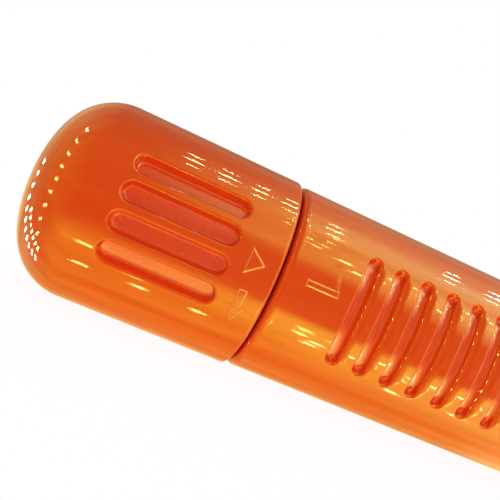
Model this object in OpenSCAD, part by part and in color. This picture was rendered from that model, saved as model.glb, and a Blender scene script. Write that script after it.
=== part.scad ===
// Hand-held probe for finding small metal objects, with a twist-lock battery cap.
// The probe lies on its side: X runs along it from the cap (-X) to the tip (+X),
// the power button looks up (+Z) and the finger grooves look sideways (-Y and +Y).
// Inside the modules x = 0 is the cap's rim and the X axis is the probe's own axis.

/* [Battery cap] */
// Outside diameter of the battery cap
cap_od = 40; // [39.4:0.2:43]
// Length of the cap from its rim to the crown of its closed end
cap_len = 46.4; // [45:0.2:54]
// Rounding between the cap's side and its closed end
cap_end_r = 11; // [8:0.5:12]
// How far the closed end crowns outwards
cap_crown = 1; // [0.4:0.1:1.6]
// Rounding of the cap's rim
cap_rim_r = 0.8; // [0.3:0.1:0.9]
// Thickness of the cap's closed end
cap_end_wall = 3; // [2.4:0.2:3.6]
// Gap between the cap's rim and the handle's shoulder
seam_gap = 0.4; // [0.3:0.1:1.4]
// How far above the side's middle line the cap's pattern stands when it is locked (degrees)
cap_rest_angle = 2; // [0:0.5:4]

/* [Cap slots] */
// Slots in each of the cap's two groups
slot_count = 4; // [2:1:5]
// Angle from one slot to the next (degrees)
slot_pitch = 15.4; // [14:0.2:18]
// Width of a slot at the surface
slot_w = 3.8; // [3:0.2:4.2]
// Length of a slot at the surface
slot_len = 21.1; // [15:0.5:24]
// Depth of a slot
slot_depth = 1.9; // [1:0.1:2.1]
// Lean of a slot's walls (degrees)
slot_draft = 9; // [4:1:12]
// Distance from the cap's rim to the slots
slot_setback = 8.2; // [8:0.1:10]

/* [Raised marks] */
// Height of the raised marks
mark_h = 0.3; // [0.2:0.05:0.4]
// Width of the cap's triangle
tri_w = 4.2; // [3:0.2:5]
// Length of the cap's triangle
tri_len = 2.8; // [2:0.2:3.4]
// Distance from the cap's rim to the triangle's point
tri_setback = 2.9; // [2:0.1:3.4]
// Angle from the triangle to the middle of the arrow (degrees)
arrow_angle = 22; // [20:1:30]
// Length of the arrow's shaft
arrow_shaft_len = 3.1; // [2.5:0.1:4]
// Width of the arrow's shaft
arrow_shaft_w = 1.3; // [1:0.1:1.8]
// Length of the arrow's head
arrow_head_len = 2.8; // [2:0.1:3]
// Width of the arrow's head
arrow_head_w = 2.9; // [2.4:0.1:3.6]
// Distance from the cap's rim to the arrow's middle line
arrow_setback = 4.5; // [4:0.1:5.5]
// Length of the bar on the handle
bar_len = 5.9; // [4:0.1:7]
// Width of the bar on the handle
bar_w = 1; // [0.8:0.1:1.6]
// Distance from the handle's shoulder to the bar
bar_setback = 4.6; // [3.3:0.1:5.3]
// How far above the side's middle line the bar stands (degrees)
bar_angle = 4; // [0:0.5:8]

/* [Twist lock] */
// How far the neck reaches into the cap, from the cap's rim
neck_len = 6.6; // [6:0.1:6.8]
// Thickness of the neck's wall
neck_wall = 1.7; // [1.4:0.1:1.8]
// Radial gap between the neck and the cap's skirt
skirt_gap = 0.3; // [0.2:0.05:0.4]
// Height of the lugs above the neck
lug_h = 0.9; // [0.7:0.05:0.95]
// Length of a lug along the probe
lug_len = 2; // [1.6:0.1:2.4]
// Distance from the neck's end to the lugs
lug_setback = 0.4; // [0.2:0.1:0.6]
// Angle that the narrow lug covers (degrees)
narrow_lug_angle = 24; // [16:1:30]
// Angle that the wide lug covers (degrees)
wide_lug_angle = 34; // [32:1:44]
// Gap around a lug in its channel
lug_gap = 0.25; // [0.2:0.05:0.3]
// Angle left free at each end of a lug's channel (degrees)
lug_end_angle = 1; // [0.5:0.5:2]
// Turn between locked and unlocked (degrees)
lock_turn = 60; // [40:1:70]
// Width of the ledge that the flat seal sits on
seal_w = 1.6; // [1.2:0.1:1.8]
// Thickness of the flat seal in the cap
seal_t = 0.9; // [0.6:0.1:1]
// Gap between the flat seal and the neck's end
seal_gap = 0.15; // [0.1:0.05:0.2]

/* [Battery] */
// Width of the block battery
battery_w = 26.2; // [25:0.2:26.6]
// Thickness of the block battery
battery_t = 17.2; // [15:0.2:17.6]
// Length of the block battery without its terminals
battery_len = 46.4; // [44:0.2:47]
// Rounding of the battery's long edges
battery_edge_r = 2; // [1:0.2:3]
// Distance between the battery's two terminals
terminal_pitch = 12.7; // [12:0.1:13]
// Height of the battery's terminals
terminal_len = 2.1; // [1.8:0.1:2.4]
// Radius of the battery's stud terminal
stud_r = 2.85; // [2.5:0.05:3]
// Outside radius of the battery's socket terminal
socket_r = 4.3; // [4.1:0.1:4.6]
// Wall of the terminals that take a stud
socket_wall = 0.9; // [0.7:0.1:1]
// Radial room between the battery's edges and the neck's bore
battery_room = 1.2; // [1:0.1:1.4]
// Radius of the sprung foam pad in the cap
pad_r = 9.5; // [6:0.5:10]
// Thickness of the foam pad
pad_t = 4.4; // [3:0.1:6]
// Gap between the foam pad and the battery
pad_gap = 0.3; // [0.2:0.1:0.5]

/* [Handle] */
// How far the handle's skin lies below the cap's skin
handle_step = 0.35; // [0.1:0.05:0.6]
// Length of the handle from its shoulder to the probe's shoulder
handle_len = 83.6; // [80:0.2:100]
// Thickness of the handle's wall around the electronics
handle_wall = 2.8; // [2.6:0.1:3.2]
// Rounding of the handle's shoulder
shoulder_r = 1.5; // [0.6:0.1:1.6]

/* [Finger grooves] */
// Finger grooves on each side
groove_count = 9; // [3:1:9]
// Distance from one groove to the next
groove_pitch = 5.43; // [4.4:0.01:5.6]
// Width of a groove
groove_w = 2.4; // [1.6:0.1:3]
// Depth of a groove
groove_depth = 1.6; // [0.8:0.1:1.7]
// Angle that a groove covers (degrees)
groove_angle = 63; // [40:1:70]
// Distance from the handle's shoulder to the first groove's middle
groove_setback = 14.7; // [13.3:0.1:18]

/* [Power button] */
// Length of the power button
button_len = 15; // [12:0.5:17]
// Width of the power button
button_w = 11; // [8:0.5:11.5]
// How far the button stands proud of the handle's crown
button_proud = 0.9; // [0.6:0.1:1.5]
// Gap between the button and its hole
button_gap = 0.3; // [0.2:0.05:0.4]
// Width of the button's hidden flange
flange_w = 1.4; // [1:0.1:1.6]
// Thickness of the button's hidden flange
flange_t = 1.2; // [0.8:0.1:1.4]
// Travel of the button
button_travel = 0.5; // [0.3:0.05:0.6]
// Distance from the button's middle to the handle's front end
button_setback = 20; // [20:0.5:24]

/* [Probe] */
// Length of the shoulder that narrows from the handle to the barrel
taper_len = 30; // [26:0.5:40]
// Radius of the plain barrel
barrel_r = 12.5; // [12.2:0.1:14]
// Length of the plain barrel
barrel_len = 36; // [30:0.5:50]
// Radius of the nose
nose_r = 11.2; // [10.8:0.1:11.8]
// Length of the nose with its step and its rounded tip
nose_len = 39.7; // [38:0.1:60]
// Rounding of the tip
tip_r = 7; // [5:0.5:8]
// Length of the step from the barrel to the nose
nose_step_len = 3; // [2:0.5:4]
// Thickness of the probe's wall
probe_wall = 1.9; // [1.6:0.1:2.1]
// How far the probe's spigot reaches into the handle
spigot_len = 10; // [8:0.5:11]
// Thickness of the spigot's wall
spigot_wall = 2; // [1.8:0.1:2.2]
// Radial gap between the spigot and the handle
spigot_gap = 0.05; // [0.02:0.01:0.1]
// Height of the scraping rib above the nose
rib_h = 1.2; // [0.6:0.1:1.2]
// Thickness of the scraping rib
rib_w = 1.8; // [1.2:0.1:3]
// Length of the scraping rib
rib_len = 27; // [20:0.5:30]
// Thickness of the sealing ring on the spigot
oring_t = 1.2; // [1:0.1:1.3]

/* [Lamp] */
// Radius of the lamp's bulb
lamp_r = 2.5; // [1.5:0.1:2.6]
// Length of the lamp's bulb
lamp_len = 8.6; // [6:0.1:9]
// Radius of the lamp's window
window_r = 2.8; // [2.7:0.1:3]
// Length of the lamp's window
window_len = 3.5; // [2:0.1:4]
// Height of the lamp above the probe's axis
lamp_lift = 15.5; // [15:0.1:15.8]

/* [Electronics] */
// Width of the circuit board
board_w = 25; // [22:0.5:26]
// Thickness of the circuit board
board_t = 1.6; // [1:0.1:1.8]
// Thickness of the frame's round end plate
plate_t = 2.2; // [1.6:0.1:3]
// Width of the frame's two rails
rail_w = 3.2; // [3:0.1:4]
// Height of the frame's two rails
rail_h = 2; // [1.6:0.1:3]
// Thickness of the frame's three ribs
frame_rib_t = 3; // [2:0.2:4]
// Thickness of the snap plate
snap_t = 1.6; // [1.2:0.1:2]
// Side of the square push switch
switch_w = 6; // [5:0.5:7]
// Height of the push switch's body
switch_h = 3.5; // [2.8:0.1:3.8]
// Radius of the push switch's plunger
plunger_r = 1.7; // [1.2:0.1:2]
// How far the plunger stands out of the switch
plunger_proud = 0.9; // [0.8:0.05:1.1]
// Side of the control chip
chip_w = 10; // [7:0.5:12]
// Thickness of the chips
chip_t = 1.4; // [1:0.1:2]
// Radius of a storage capacitor
can_r = 2.5; // [2:0.1:3]
// Height of a storage capacitor
can_h = 5.5; // [4:0.5:7]
// Distance from the frame's end plate to the motor
motor_setback = 8; // [6:0.5:10]
// Radius of the vibration motor
motor_r = 5; // [3.5:0.1:5.5]
// Length of the vibration motor
motor_len = 18; // [14:0.5:19]
// How far the motor lies below the probe's axis
motor_drop = 8; // [7.5:0.1:9]
// Radius of the motor's shaft
shaft_r = 0.75; // [0.5:0.05:1]
// Length of the eccentric weight
weight_len = 5; // [3:0.5:6]
// Radius of the eccentric weight
weight_r = 4.6; // [3.5:0.1:5]
// Radius of the sounder
sounder_r = 7; // [5:0.5:8]
// Height of the sounder
sounder_h = 4.5; // [3:0.5:6]

/* [Search coil] */
// Radius of the ferrite rod
rod_r = 4; // [3:0.1:4.5]
// Thickness of the bobbin's tube
bobbin_wall = 1; // [0.8:0.1:1.4]
// Thickness of the bobbin's flanges
bobbin_flange_t = 1.5; // [1:0.1:2]
// Height of the windings above the bobbin's tube
winding_h = 2.4; // [1.5:0.1:2.6]
// Length of the middle winding
middle_winding_len = 26; // [20:0.5:30]
// Thickness of the probe's closed tip
tip_wall = 3; // [2:0.2:4]
// Thickness of the foam cushion in the tip
tip_cushion_t = 3; // [2:0.2:3.6]
// Radius of the insulated leads
lead_r = 0.5; // [0.4:0.05:0.6]

/* [Hidden] */
$fn = 64;

plastic = [0.9, 0.33, 0.08];
fit_gap = 0.1;   // small gap between pieces that sit against each other
cut = 1;         // how far a cutter reaches past what it cuts

// Radii, outwards from the battery
cap_r = cap_od / 2;
handle_r = cap_r - handle_step;
battery_r = norm([battery_w / 2 - battery_edge_r, battery_t / 2 - battery_edge_r]) + battery_edge_r;
neck_bore_r = battery_r + battery_room;
neck_r = neck_bore_r + neck_wall;
skirt_r = neck_r + skirt_gap;
lug_r = neck_r + lug_h;
channel_r = lug_r + lug_gap;
cap_bore_r = skirt_r - seal_w;
slot_floor_r = cap_r - slot_depth;
bay_r = handle_r - handle_wall;
groove_floor_r = handle_r - groove_depth;
spigot_r = bay_r - spigot_gap;
spigot_bore_r = spigot_r - spigot_wall;

// Places along the axis
shoulder_x = seam_gap;
handle_front_x = shoulder_x + handle_len;
neck_end_x = -neck_len;
lug_x = neck_end_x + lug_setback;
seat_x = neck_end_x - seal_gap - seal_t;
cap_floor_x = cap_end_wall - cap_len;
battery_rear_x = cap_floor_x + pad_t + pad_gap;
battery_front_x = battery_rear_x + battery_len;
terminal_end_x = battery_front_x + terminal_len;
snap_x = terminal_end_x + fit_gap;
bay_x = snap_x + snap_t + fit_gap;
spigot_x = handle_front_x - spigot_len;
frame_front_x = spigot_x - fit_gap;
barrel_x = handle_front_x + taper_len;
nose_x = barrel_x + barrel_len;
tip_x = nose_x + nose_len;
groove_x = shoulder_x + groove_setback;
button_x = handle_front_x - button_setback;

// Heights above the axis
button_top_z = handle_r + button_proud;
flange_edge_y = button_w / 2 + flange_w;
flange_top_z = sqrt(pow(bay_r, 2) - pow(flange_edge_y, 2)) - 0.5;
flange_bottom_z = flange_top_z - flange_t;
board_top_z = flange_bottom_z - button_travel - switch_h - plunger_proud - 0.3;
board_bottom_z = board_top_z - board_t;
rail_top_z = board_bottom_z;
plunger_top_z = board_top_z + switch_h + plunger_proud;
stem_bottom_z = plunger_top_z + 0.02;

// The circuit board and the frame
board_rear_x = bay_x + plate_t + 0.4;
board_front_x = frame_front_x - 0.6;
board_len = board_front_x - board_rear_x;
row_y = 0.26 * board_w;
screw_inset = 4;
screw_xs = [board_rear_x + screw_inset, board_front_x - screw_inset];
screw_y = board_w / 2 - 2;
rail_y = screw_y - rail_w / 2;
screw_r = 1;
screw_head_r = 1.7;
screw_head_h = 1.2;
motor_rear_x = bay_x + plate_t + motor_setback;
motor_front_x = motor_rear_x + motor_len;
weight_x = motor_front_x + weight_len / 2;
frame_rib_xs = [motor_rear_x + frame_rib_t / 2, motor_front_x - 1.5 * frame_rib_t,
    frame_front_x - frame_rib_t];
sounder_x = frame_rib_xs[2] - sounder_r - 1;

// The search coil
bobbin_x = barrel_x + 2;
bobbin_front_x = tip_x - tip_wall - tip_cushion_t - 2 * fit_gap;
bobbin_len = bobbin_front_x - bobbin_x;
nose_bore_r = nose_r - probe_wall;
bobbin_flange_r = nose_bore_r - 0.2;
bobbin_bore_r = rod_r + 0.1;
bobbin_r = bobbin_bore_r + bobbin_wall;
winding_r = bobbin_r + winding_h;
flange_xs = [bobbin_x,
    bobbin_x + (bobbin_len - middle_winding_len) / 2 - bobbin_flange_t,
    bobbin_x + (bobbin_len + middle_winding_len) / 2,
    bobbin_front_x - bobbin_flange_t];
tip_bore_r = tip_r - tip_wall;

// The lamp
lamp_x = handle_front_x + 6;
window_x = lamp_x + lamp_len + 0.2;
hood_x = lamp_x - 3;
hood_front_x = window_x + window_len + 0.2;
hood_r = handle_r - lamp_lift;
lamp_hole_r = window_r + 0.05;

// The leads
lead_z = board_top_z + lead_r;
lead_bend = 4 * lead_r;
lamp_lead_y = lamp_r / 2;
lamp_lead_z = board_top_z + 6 * lead_r;
lamp_lead_x = hood_x - 2 * lead_r;
battery_lead_y = 0.16 * board_w;
battery_lead_z = 0.12 * board_w;
motor_lead_y = 3 * lead_r;

// ---- Placing ----

// Stands the finished probe on the ground, with its middle over the origin
module placed() translate([-(tip_x - cap_len) / 2, 0, cap_r]) children();

// Turns a shape made around Z to lie around the probe's axis; its +X side looks to -Y
module around_axis() rotate([-90, 0, 0]) rotate([0, 90, 0]) children();

// Turns a piece on the -Y side up around the probe by an angle
module raised_by(angle) rotate([-angle, 0, 0]) children();

// Turns a shape drawn in the XY plane to look out to -Y
module facing_out() rotate([90, 0, 0]) children();

// ---- Shared shapes ----

// A solid of revolution from [x, radius] points
module turned(points) around_axis() rotate_extrude() polygon([for (p = points) [p[1], p[0]]]);

module disc(r, x0, x1) around_axis() translate([0, 0, x0]) cylinder(r = r, h = x1 - x0);

module ring(r_out, r_in, x0, x1) {
    difference() {
        disc(r_out, x0, x1);
        disc(r_in, x0 - cut, x1 + cut);
    }
}

// The outer part of a disc between two angles, counted upwards from the -Y side
module sector(r, depth, x0, x1, a0, a1) {
    raised_by(a1) around_axis()
        rotate_extrude(angle = a1 - a0) translate([r - depth, x0]) square([depth, x1 - x0]);
}

// A flat shape with round ends, its length along X
module long_round(length, width) {
    square([length - width, width], center = true);
    for (side = [-1, 1]) translate([side * (length - width) / 2, 0]) circle(d = width);
}

// A wire through a list of points
module wire(points, r) {
    for (i = [0 : len(points) - 2]) {
        step = points[i + 1] - points[i];
        translate(points[i]) rotate([0, acos(step[2] / norm(step)), atan2(step[1], step[0])])
            cylinder(r = r, h = norm(step));
    }
    for (i = [1 : 1 : len(points) - 2]) translate(points[i]) sphere(r = r);
}

// ---- The battery cap ----

// Half outline of the closed cap: a shallow crown that runs smoothly into the round end edge
module cap_outline() {
    inner = cap_r - cap_end_r;
    crown_r = (pow(inner, 2) + pow(cap_crown, 2)) / (2 * cap_crown) + cap_end_r;
    meet_angle = atan2(inner, crown_r - cap_end_r - cap_crown);
    end_y = -cap_len + cap_crown + cap_end_r;
    intersection() {
        translate([0, -cap_len + crown_r]) circle(crown_r, $fn = 200);
        translate([0, -cap_len]) square([crown_r * sin(meet_angle), cap_end_r]);
    }
    intersection() {
        translate([inner, end_y]) circle(cap_end_r, $fn = 100);
        translate([0, -cap_len]) square(cap_len);
    }
    translate([0, end_y]) square([cap_r, -cap_rim_r - end_y]);
    square_r = cap_r - cap_rim_r;
    translate([0, -cap_rim_r - cut]) square([square_r, cap_rim_r + cut]);
    translate([square_r, -cap_rim_r]) circle(cap_rim_r);
}

module slot_cutter() {
    lean = tan(slot_draft);
    end_x = slot_len / 2 - slot_w / 2;
    low = slot_floor_r - 0.3;
    high = cap_r + cut;
    low_r = slot_w / 2 + (low - cap_r) * lean;
    high_r = slot_w / 2 + (high - cap_r) * lean;
    facing_out() translate([-slot_setback - slot_len / 2, 0, 0]) {
        for (side = [-1, 1])
            translate([side * end_x, 0, low]) cylinder(r1 = low_r, r2 = high_r, h = high - low);
        rotate([90, 0, 90]) translate([0, 0, -end_x]) linear_extrude(2 * end_x)
            polygon([[-low_r, low], [low_r, low], [high_r, high], [-high_r, high]]);
    }
}

module cap_slots() {
    difference() {
        for (side = [0, 180], i = [0 : slot_count - 1])
            raised_by(side + cap_rest_angle + (i - (slot_count - 1) / 2) * slot_pitch) slot_cutter();
        disc(slot_floor_r, -cap_len, 0);
    }
}

// Raises a flat shape, drawn around its own middle, from a skin of radius r
module raised_mark(r, x, angle) {
    intersection() {
        raised_by(angle) facing_out() translate([x, 0, r - 1]) linear_extrude(2) children();
        disc(r + mark_h, -cap_len, handle_front_x);
    }
}

module cap_triangle() {
    raised_mark(cap_r, -tri_setback, cap_rest_angle)
        polygon([[0, 0], [-tri_len, tri_w / 2], [-tri_len, -tri_w / 2]]);
}

module cap_arrow() {
    half_len = (arrow_shaft_len + arrow_head_len) / 2;
    neck_y = arrow_head_len - half_len;
    raised_mark(cap_r, -arrow_setback, cap_rest_angle - arrow_angle)
        polygon([[-arrow_shaft_w / 2, half_len], [-arrow_shaft_w / 2, neck_y], [-arrow_head_w / 2, neck_y],
            [0, -half_len], [arrow_head_w / 2, neck_y], [arrow_shaft_w / 2, neck_y],
            [arrow_shaft_w / 2, half_len]]);
}

// The way that one lug takes through the cap's skirt: in from the rim, then round to the lock
module lug_channel(middle, width) {
    half = width / 2 + lug_end_angle;
    entry = middle - lock_turn;
    sector(channel_r, 2, lug_x - lug_gap, lug_x + lug_len + lug_gap, entry, middle + half);
    sector(channel_r + 0.05, 3, lug_x - lug_gap - 0.15, cut, entry - half, entry + half);
}

module battery_cap() color(plastic) placed() {
    floor_r = 6;
    difference() {
        union() {
            around_axis() rotate_extrude() cap_outline();
            cap_triangle();
            cap_arrow();
        }
        around_axis() rotate_extrude() {
            translate([0, cap_floor_x]) square([cap_bore_r - floor_r, -cap_floor_x]);
            translate([0, cap_floor_x + floor_r]) square([cap_bore_r, -cap_floor_x - floor_r]);
            translate([cap_bore_r - floor_r, cap_floor_x + floor_r]) circle(floor_r);
        }
        disc(skirt_r, seat_x, cut);
        lug_channel(90, narrow_lug_angle);
        lug_channel(270, wide_lug_angle);
        cap_slots();
    }
}

module cap_seal() color("dimgray") placed()
    ring(skirt_r - fit_gap, cap_bore_r + fit_gap, seat_x, seat_x + seal_t);

module pressure_pad() color("dimgray") placed()
    disc(min(pad_r, cap_bore_r - 6.5), cap_floor_x, cap_floor_x + pad_t);

// ---- The battery ----

module battery_case() color("silver") placed() {
    inner_w = battery_w - 2 * battery_edge_r;
    inner_t = battery_t - 2 * battery_edge_r;
    around_axis() translate([0, 0, battery_rear_x]) linear_extrude(battery_len) {
        square([inner_t, battery_w], center = true);
        square([battery_t, inner_w], center = true);
        for (sx = [-1, 1], sy = [-1, 1])
            translate([sx * inner_t / 2, sy * inner_w / 2]) circle(battery_edge_r);
    }
}

module battery_terminals() color("silver") placed() {
    translate([0, terminal_pitch / 2, 0]) disc(stud_r, battery_front_x, terminal_end_x);
    translate([0, -terminal_pitch / 2, 0])
        ring(socket_r, socket_r - socket_wall, battery_front_x, terminal_end_x);
}

module snap_plate() color("darkslategray") placed()
    translate([snap_x, -battery_w / 2, -battery_t / 2 + 2])
        cube([snap_t, battery_w, battery_t - 4]);

module snap_contacts() color("silver") placed() {
    translate([0, -terminal_pitch / 2, 0]) disc(stud_r, battery_front_x + 0.2, snap_x);
    translate([0, terminal_pitch / 2, 0])
        ring(socket_r, socket_r - socket_wall, battery_front_x + 0.2, snap_x);
}

module battery_leads() color("crimson") placed() for (side = [-1, 1])
    wire([[snap_x + snap_t, side * battery_lead_y, battery_lead_z],
        [board_rear_x + lead_bend, side * battery_lead_y, battery_lead_z],
        [board_rear_x + lead_bend, side * battery_lead_y, board_bottom_z]], lead_r);

// ---- The handle ----

module grooves() difference() {
    for (side = [0, 180], i = [0 : groove_count - 1])
        raised_by(side) facing_out() translate([groove_x + i * groove_pitch, 0, 0]) rotate(90)
            linear_extrude(cap_r + cut)
                long_round(2 * handle_r * sin(groove_angle / 2), groove_w);
    disc(groove_floor_r, 0, handle_front_x);
}

module bar_mark() raised_mark(handle_r, shoulder_x + bar_setback + bar_len / 2, bar_angle)
    square([bar_len, bar_w], center = true);

module button_shape(grow, z0, z1) {
    translate([button_x, 0, z0]) linear_extrude(z1 - z0)
        long_round(button_len + 2 * grow, button_w + 2 * grow);
}

module handle_shell() color(plastic) placed() {
    edge = 0.3;
    difference() {
        union() {
            disc(neck_r, neck_end_x, shoulder_x + 1);
            sector(lug_r, 2, lug_x, lug_x + lug_len, 90 - narrow_lug_angle / 2, 90 + narrow_lug_angle / 2);
            sector(lug_r, 2, lug_x, lug_x + lug_len, 270 - wide_lug_angle / 2, 270 + wide_lug_angle / 2);
            around_axis() rotate_extrude() {
                translate([0, shoulder_x]) square([handle_r - shoulder_r, shoulder_r + cut]);
                translate([handle_r - shoulder_r, shoulder_x + shoulder_r]) circle(shoulder_r);
                polygon([[0, shoulder_x + shoulder_r], [handle_r, shoulder_x + shoulder_r],
                    [handle_r, handle_front_x - edge], [handle_r - edge, handle_front_x],
                    [0, handle_front_x]]);
            }
            bar_mark();
        }
        disc(neck_bore_r, neck_end_x - cut, handle_front_x);
        disc(bay_r, bay_x, handle_front_x + cut);
        grooves();
        button_shape(button_gap, 0, handle_r + cut);
    }
}

module joint_ring() color("dimgray") placed() around_axis()
    translate([0, 0, spigot_x + spigot_len / 2]) rotate_extrude()
        translate([bay_r - oring_t / 2, 0]) circle(oring_t / 2 - 0.03);

// ---- The power button ----

module power_button() color("dimgray") placed() {
    intersection() {
        button_shape(0, flange_top_z - flange_t, button_top_z);
        disc(button_top_z, 0, handle_front_x);
    }
    button_shape(flange_w, flange_bottom_z, flange_top_z);
    translate([button_x, 0, stem_bottom_z]) cylinder(r = 2, h = flange_bottom_z - stem_bottom_z);
}

module button_seal() color("black") placed() intersection() {
    translate([button_x, 0, flange_top_z + 0.05]) linear_extrude(handle_r - flange_top_z) difference() {
        long_round(button_len + 2 * flange_w, button_w + 2 * flange_w);
        long_round(button_len + 2 * button_gap, button_w + 2 * button_gap);
    }
    disc(bay_r - 0.02, button_x - button_len, button_x + button_len, $fn = 256);
}

module push_switch() color("dimgray") placed() translate([button_x, 0, board_top_z]) difference() {
    translate([-switch_w / 2, -switch_w / 2, 0]) cube([switch_w, switch_w, switch_h]);
    translate([0, 0, 1]) cylinder(r = plunger_r + 0.1, h = switch_h);
}

module switch_plunger() color("black") placed() {
    low_z = board_top_z + 1 + button_travel + 0.2;
    translate([button_x, 0, low_z]) cylinder(r = plunger_r, h = plunger_top_z - low_z);
}

// ---- The circuit board ----

module circuit_board() color("darkgreen") placed() difference() {
    translate([board_rear_x, -board_w / 2, board_bottom_z])
        cube([board_front_x - board_rear_x, board_w, board_t]);
    for (x = screw_xs, side = [-1, 1]) translate([x, side * screw_y, board_bottom_z - cut])
        cylinder(r = screw_r + 0.15, h = board_t + 2 * cut);
}

module control_chip() color("black") placed()
    translate([board_rear_x + 0.27 * board_len, -chip_w / 2, board_top_z])
        cube([chip_w, chip_w, chip_t]);

module small_chips() color("black") placed() for (side = [-1, 1])
    translate([board_rear_x + 0.52 * board_len, side * row_y - 0.2 * chip_w, board_top_z])
        cube([0.5 * chip_w, 0.4 * chip_w, chip_t]);

module storage_capacitors() color("midnightblue") placed() for (side = [-1, 0, 1])
    translate([board_rear_x + 0.15 * board_len, side * row_y, board_top_z]) cylinder(r = can_r, h = can_h);

module sounder() color("black") placed() translate([sounder_x, 0, board_bottom_z - sounder_h]) {
    difference() {
        cylinder(r = sounder_r, h = sounder_h);
        translate([0, 0, -cut]) cylinder(r = 1, h = cut + 1);
    }
}

module inner_frame() color("lightgray") placed() difference() {
    fit_r = bay_r - fit_gap;
    union() {
        disc(fit_r, bay_x, bay_x + plate_t);
        for (side = [-1, 1])
            translate([bay_x, side * screw_y - rail_w / 2, rail_top_z - rail_h])
                cube([frame_front_x - bay_x, rail_w, rail_h]);
        for (x = frame_rib_xs) intersection() {
            disc(fit_r, x, x + frame_rib_t);
            translate([x, -fit_r, -fit_r]) cube([frame_rib_t, 2 * fit_r, fit_r + rail_top_z]);
        }
    }
    for (x = frame_rib_xs) translate([x - cut, -6, -1.5])
        cube([frame_rib_t + 2 * cut, 12, rail_top_z - rail_h + 1.5]);
    translate([0, 0, -motor_drop]) disc(motor_r + 0.05, bay_x + plate_t, frame_front_x + cut);
    for (side = [-1, 1]) translate([0, side * battery_lead_y, battery_lead_z])
        disc(lead_r + 0.15, bay_x - cut, bay_x + plate_t + cut);
    for (x = screw_xs, side = [-1, 1]) translate([x, side * screw_y, rail_top_z - rail_h - cut])
        cylinder(r = screw_r + 0.02, h = rail_h + 2 * cut);
}

module board_screws() color("silver") placed() for (x = screw_xs, side = [-1, 1])
    translate([x, side * screw_y, board_top_z]) difference() {
        union() {
            cylinder(r = screw_head_r, h = screw_head_h);
            translate([0, 0, -board_t - rail_h + 0.3]) cylinder(r = screw_r, h = board_t + rail_h);
        }
        for (turn = [0, 90]) rotate(turn)
            translate([-1, -0.2, screw_head_h - 0.7]) cube([2, 0.4, 1]);
    }

// ---- The vibration motor ----

module vibration_motor() color("silver") placed() translate([0, 0, -motor_drop]) difference() {
    disc(motor_r, motor_rear_x, motor_front_x);
    disc(shaft_r + 0.05, motor_front_x - 3, motor_front_x + cut);
}

module motor_shaft() color("gray") placed() translate([0, 0, -motor_drop])
    disc(shaft_r, motor_front_x - 2.8, weight_x + weight_len + 0.8);

module eccentric_weight() color("dimgray") placed() translate([0, 0, -motor_drop]) difference() {
    union() {
        sector(weight_r, weight_r, weight_x, weight_x + weight_len, -180, 0);
        disc(2, weight_x, weight_x + weight_len);
    }
    disc(shaft_r + 0.01, weight_x - cut, weight_x + weight_len + cut);
}

module motor_leads() color("royalblue") placed() for (side = [-1, 1])
    wire([[motor_rear_x, side * motor_lead_y, -motor_drop],
        [motor_rear_x - lead_bend, side * motor_lead_y, -motor_drop],
        [motor_rear_x - lead_bend, side * motor_lead_y, board_bottom_z]], lead_r);

// ---- The probe ----

// Radius of the probe's skin on the shoulder that narrows to the barrel
function taper_skin(t) = barrel_r + (handle_r - barrel_r) * (1 + cos(180 * t)) / 2;

// Half outline of a flat end at end_x with a round edge
module tip_outline(r, edge_r, end_x) {
    intersection() {
        translate([r - edge_r, end_x - edge_r]) circle(edge_r);
        translate([0, end_x - edge_r]) square(r);
    }
    translate([0, end_x - edge_r - cut]) square([r - edge_r, edge_r + cut]);
}

module probe_outline() {
    edge = 0.3;
    steps = 24;
    polygon(concat([[0, handle_front_x], [handle_r - edge, handle_front_x]],
        [for (i = [1 : steps]) [taper_skin(i / steps), handle_front_x + taper_len * i / steps]],
        [[barrel_r, nose_x], [nose_r, nose_x + nose_step_len], [nose_r, tip_x - tip_r],
            [0, tip_x - tip_r]]));
    tip_outline(nose_r, tip_r, tip_x);
}

module probe_bore_outline() {
    steps = 24;
    end_x = tip_x - tip_wall;
    polygon(concat([[0, spigot_x - cut], [spigot_bore_r, spigot_x - cut]],
        [for (i = [0 : steps]) [min(spigot_bore_r, taper_skin(i / steps) - probe_wall),
            handle_front_x + taper_len * i / steps]],
        [[barrel_r - probe_wall, nose_x], [nose_bore_r, nose_x + nose_step_len],
            [nose_bore_r, end_x - tip_bore_r], [0, end_x - tip_bore_r]]));
    tip_outline(nose_bore_r, tip_bore_r, end_x);
}

module scraping_rib() {
    x0 = nose_x + nose_step_len + 1;
    low = -nose_r - rib_h;
    intersection() {
        translate([0, rib_w / 2, 0]) rotate([90, 0, 0]) linear_extrude(rib_w)
            polygon([[x0, -nose_r + 1], [x0 + 2.4, low], [x0 + rib_len - 2.4, low],
                [x0 + rib_len, -nose_r + 1]]);
        disc(barrel_r - 0.05, nose_x, tip_x);
    }
}

module probe_shell() color(plastic) placed() difference() {
    union() {
        difference() {
            union() {
                around_axis() rotate_extrude() probe_outline();
                disc(spigot_r, spigot_x, handle_front_x + cut);
            }
            around_axis() rotate_extrude() probe_bore_outline();
        }
        translate([0, 0, lamp_lift]) disc(hood_r, hood_x, hood_front_x);
        scraping_rib();
    }
    translate([0, 0, lamp_lift]) disc(lamp_hole_r, hood_x - lead_bend, hood_front_x + cut);
    ring(bay_r + cut, bay_r - oring_t, spigot_x + (spigot_len - oring_t) / 2 - 0.2,
        spigot_x + (spigot_len + oring_t) / 2 + 0.2);
}

// ---- The lamp ----

module lamp() color("white") placed() translate([0, 0, lamp_lift]) {
    disc(lamp_r, lamp_x, lamp_x + lamp_len - lamp_r);
    translate([lamp_x + lamp_len - lamp_r, 0, 0]) sphere(lamp_r);
}

module lamp_window() color("lightcyan") placed() translate([0, 0, lamp_lift])
    disc(window_r, window_x, window_x + window_len);

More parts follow.
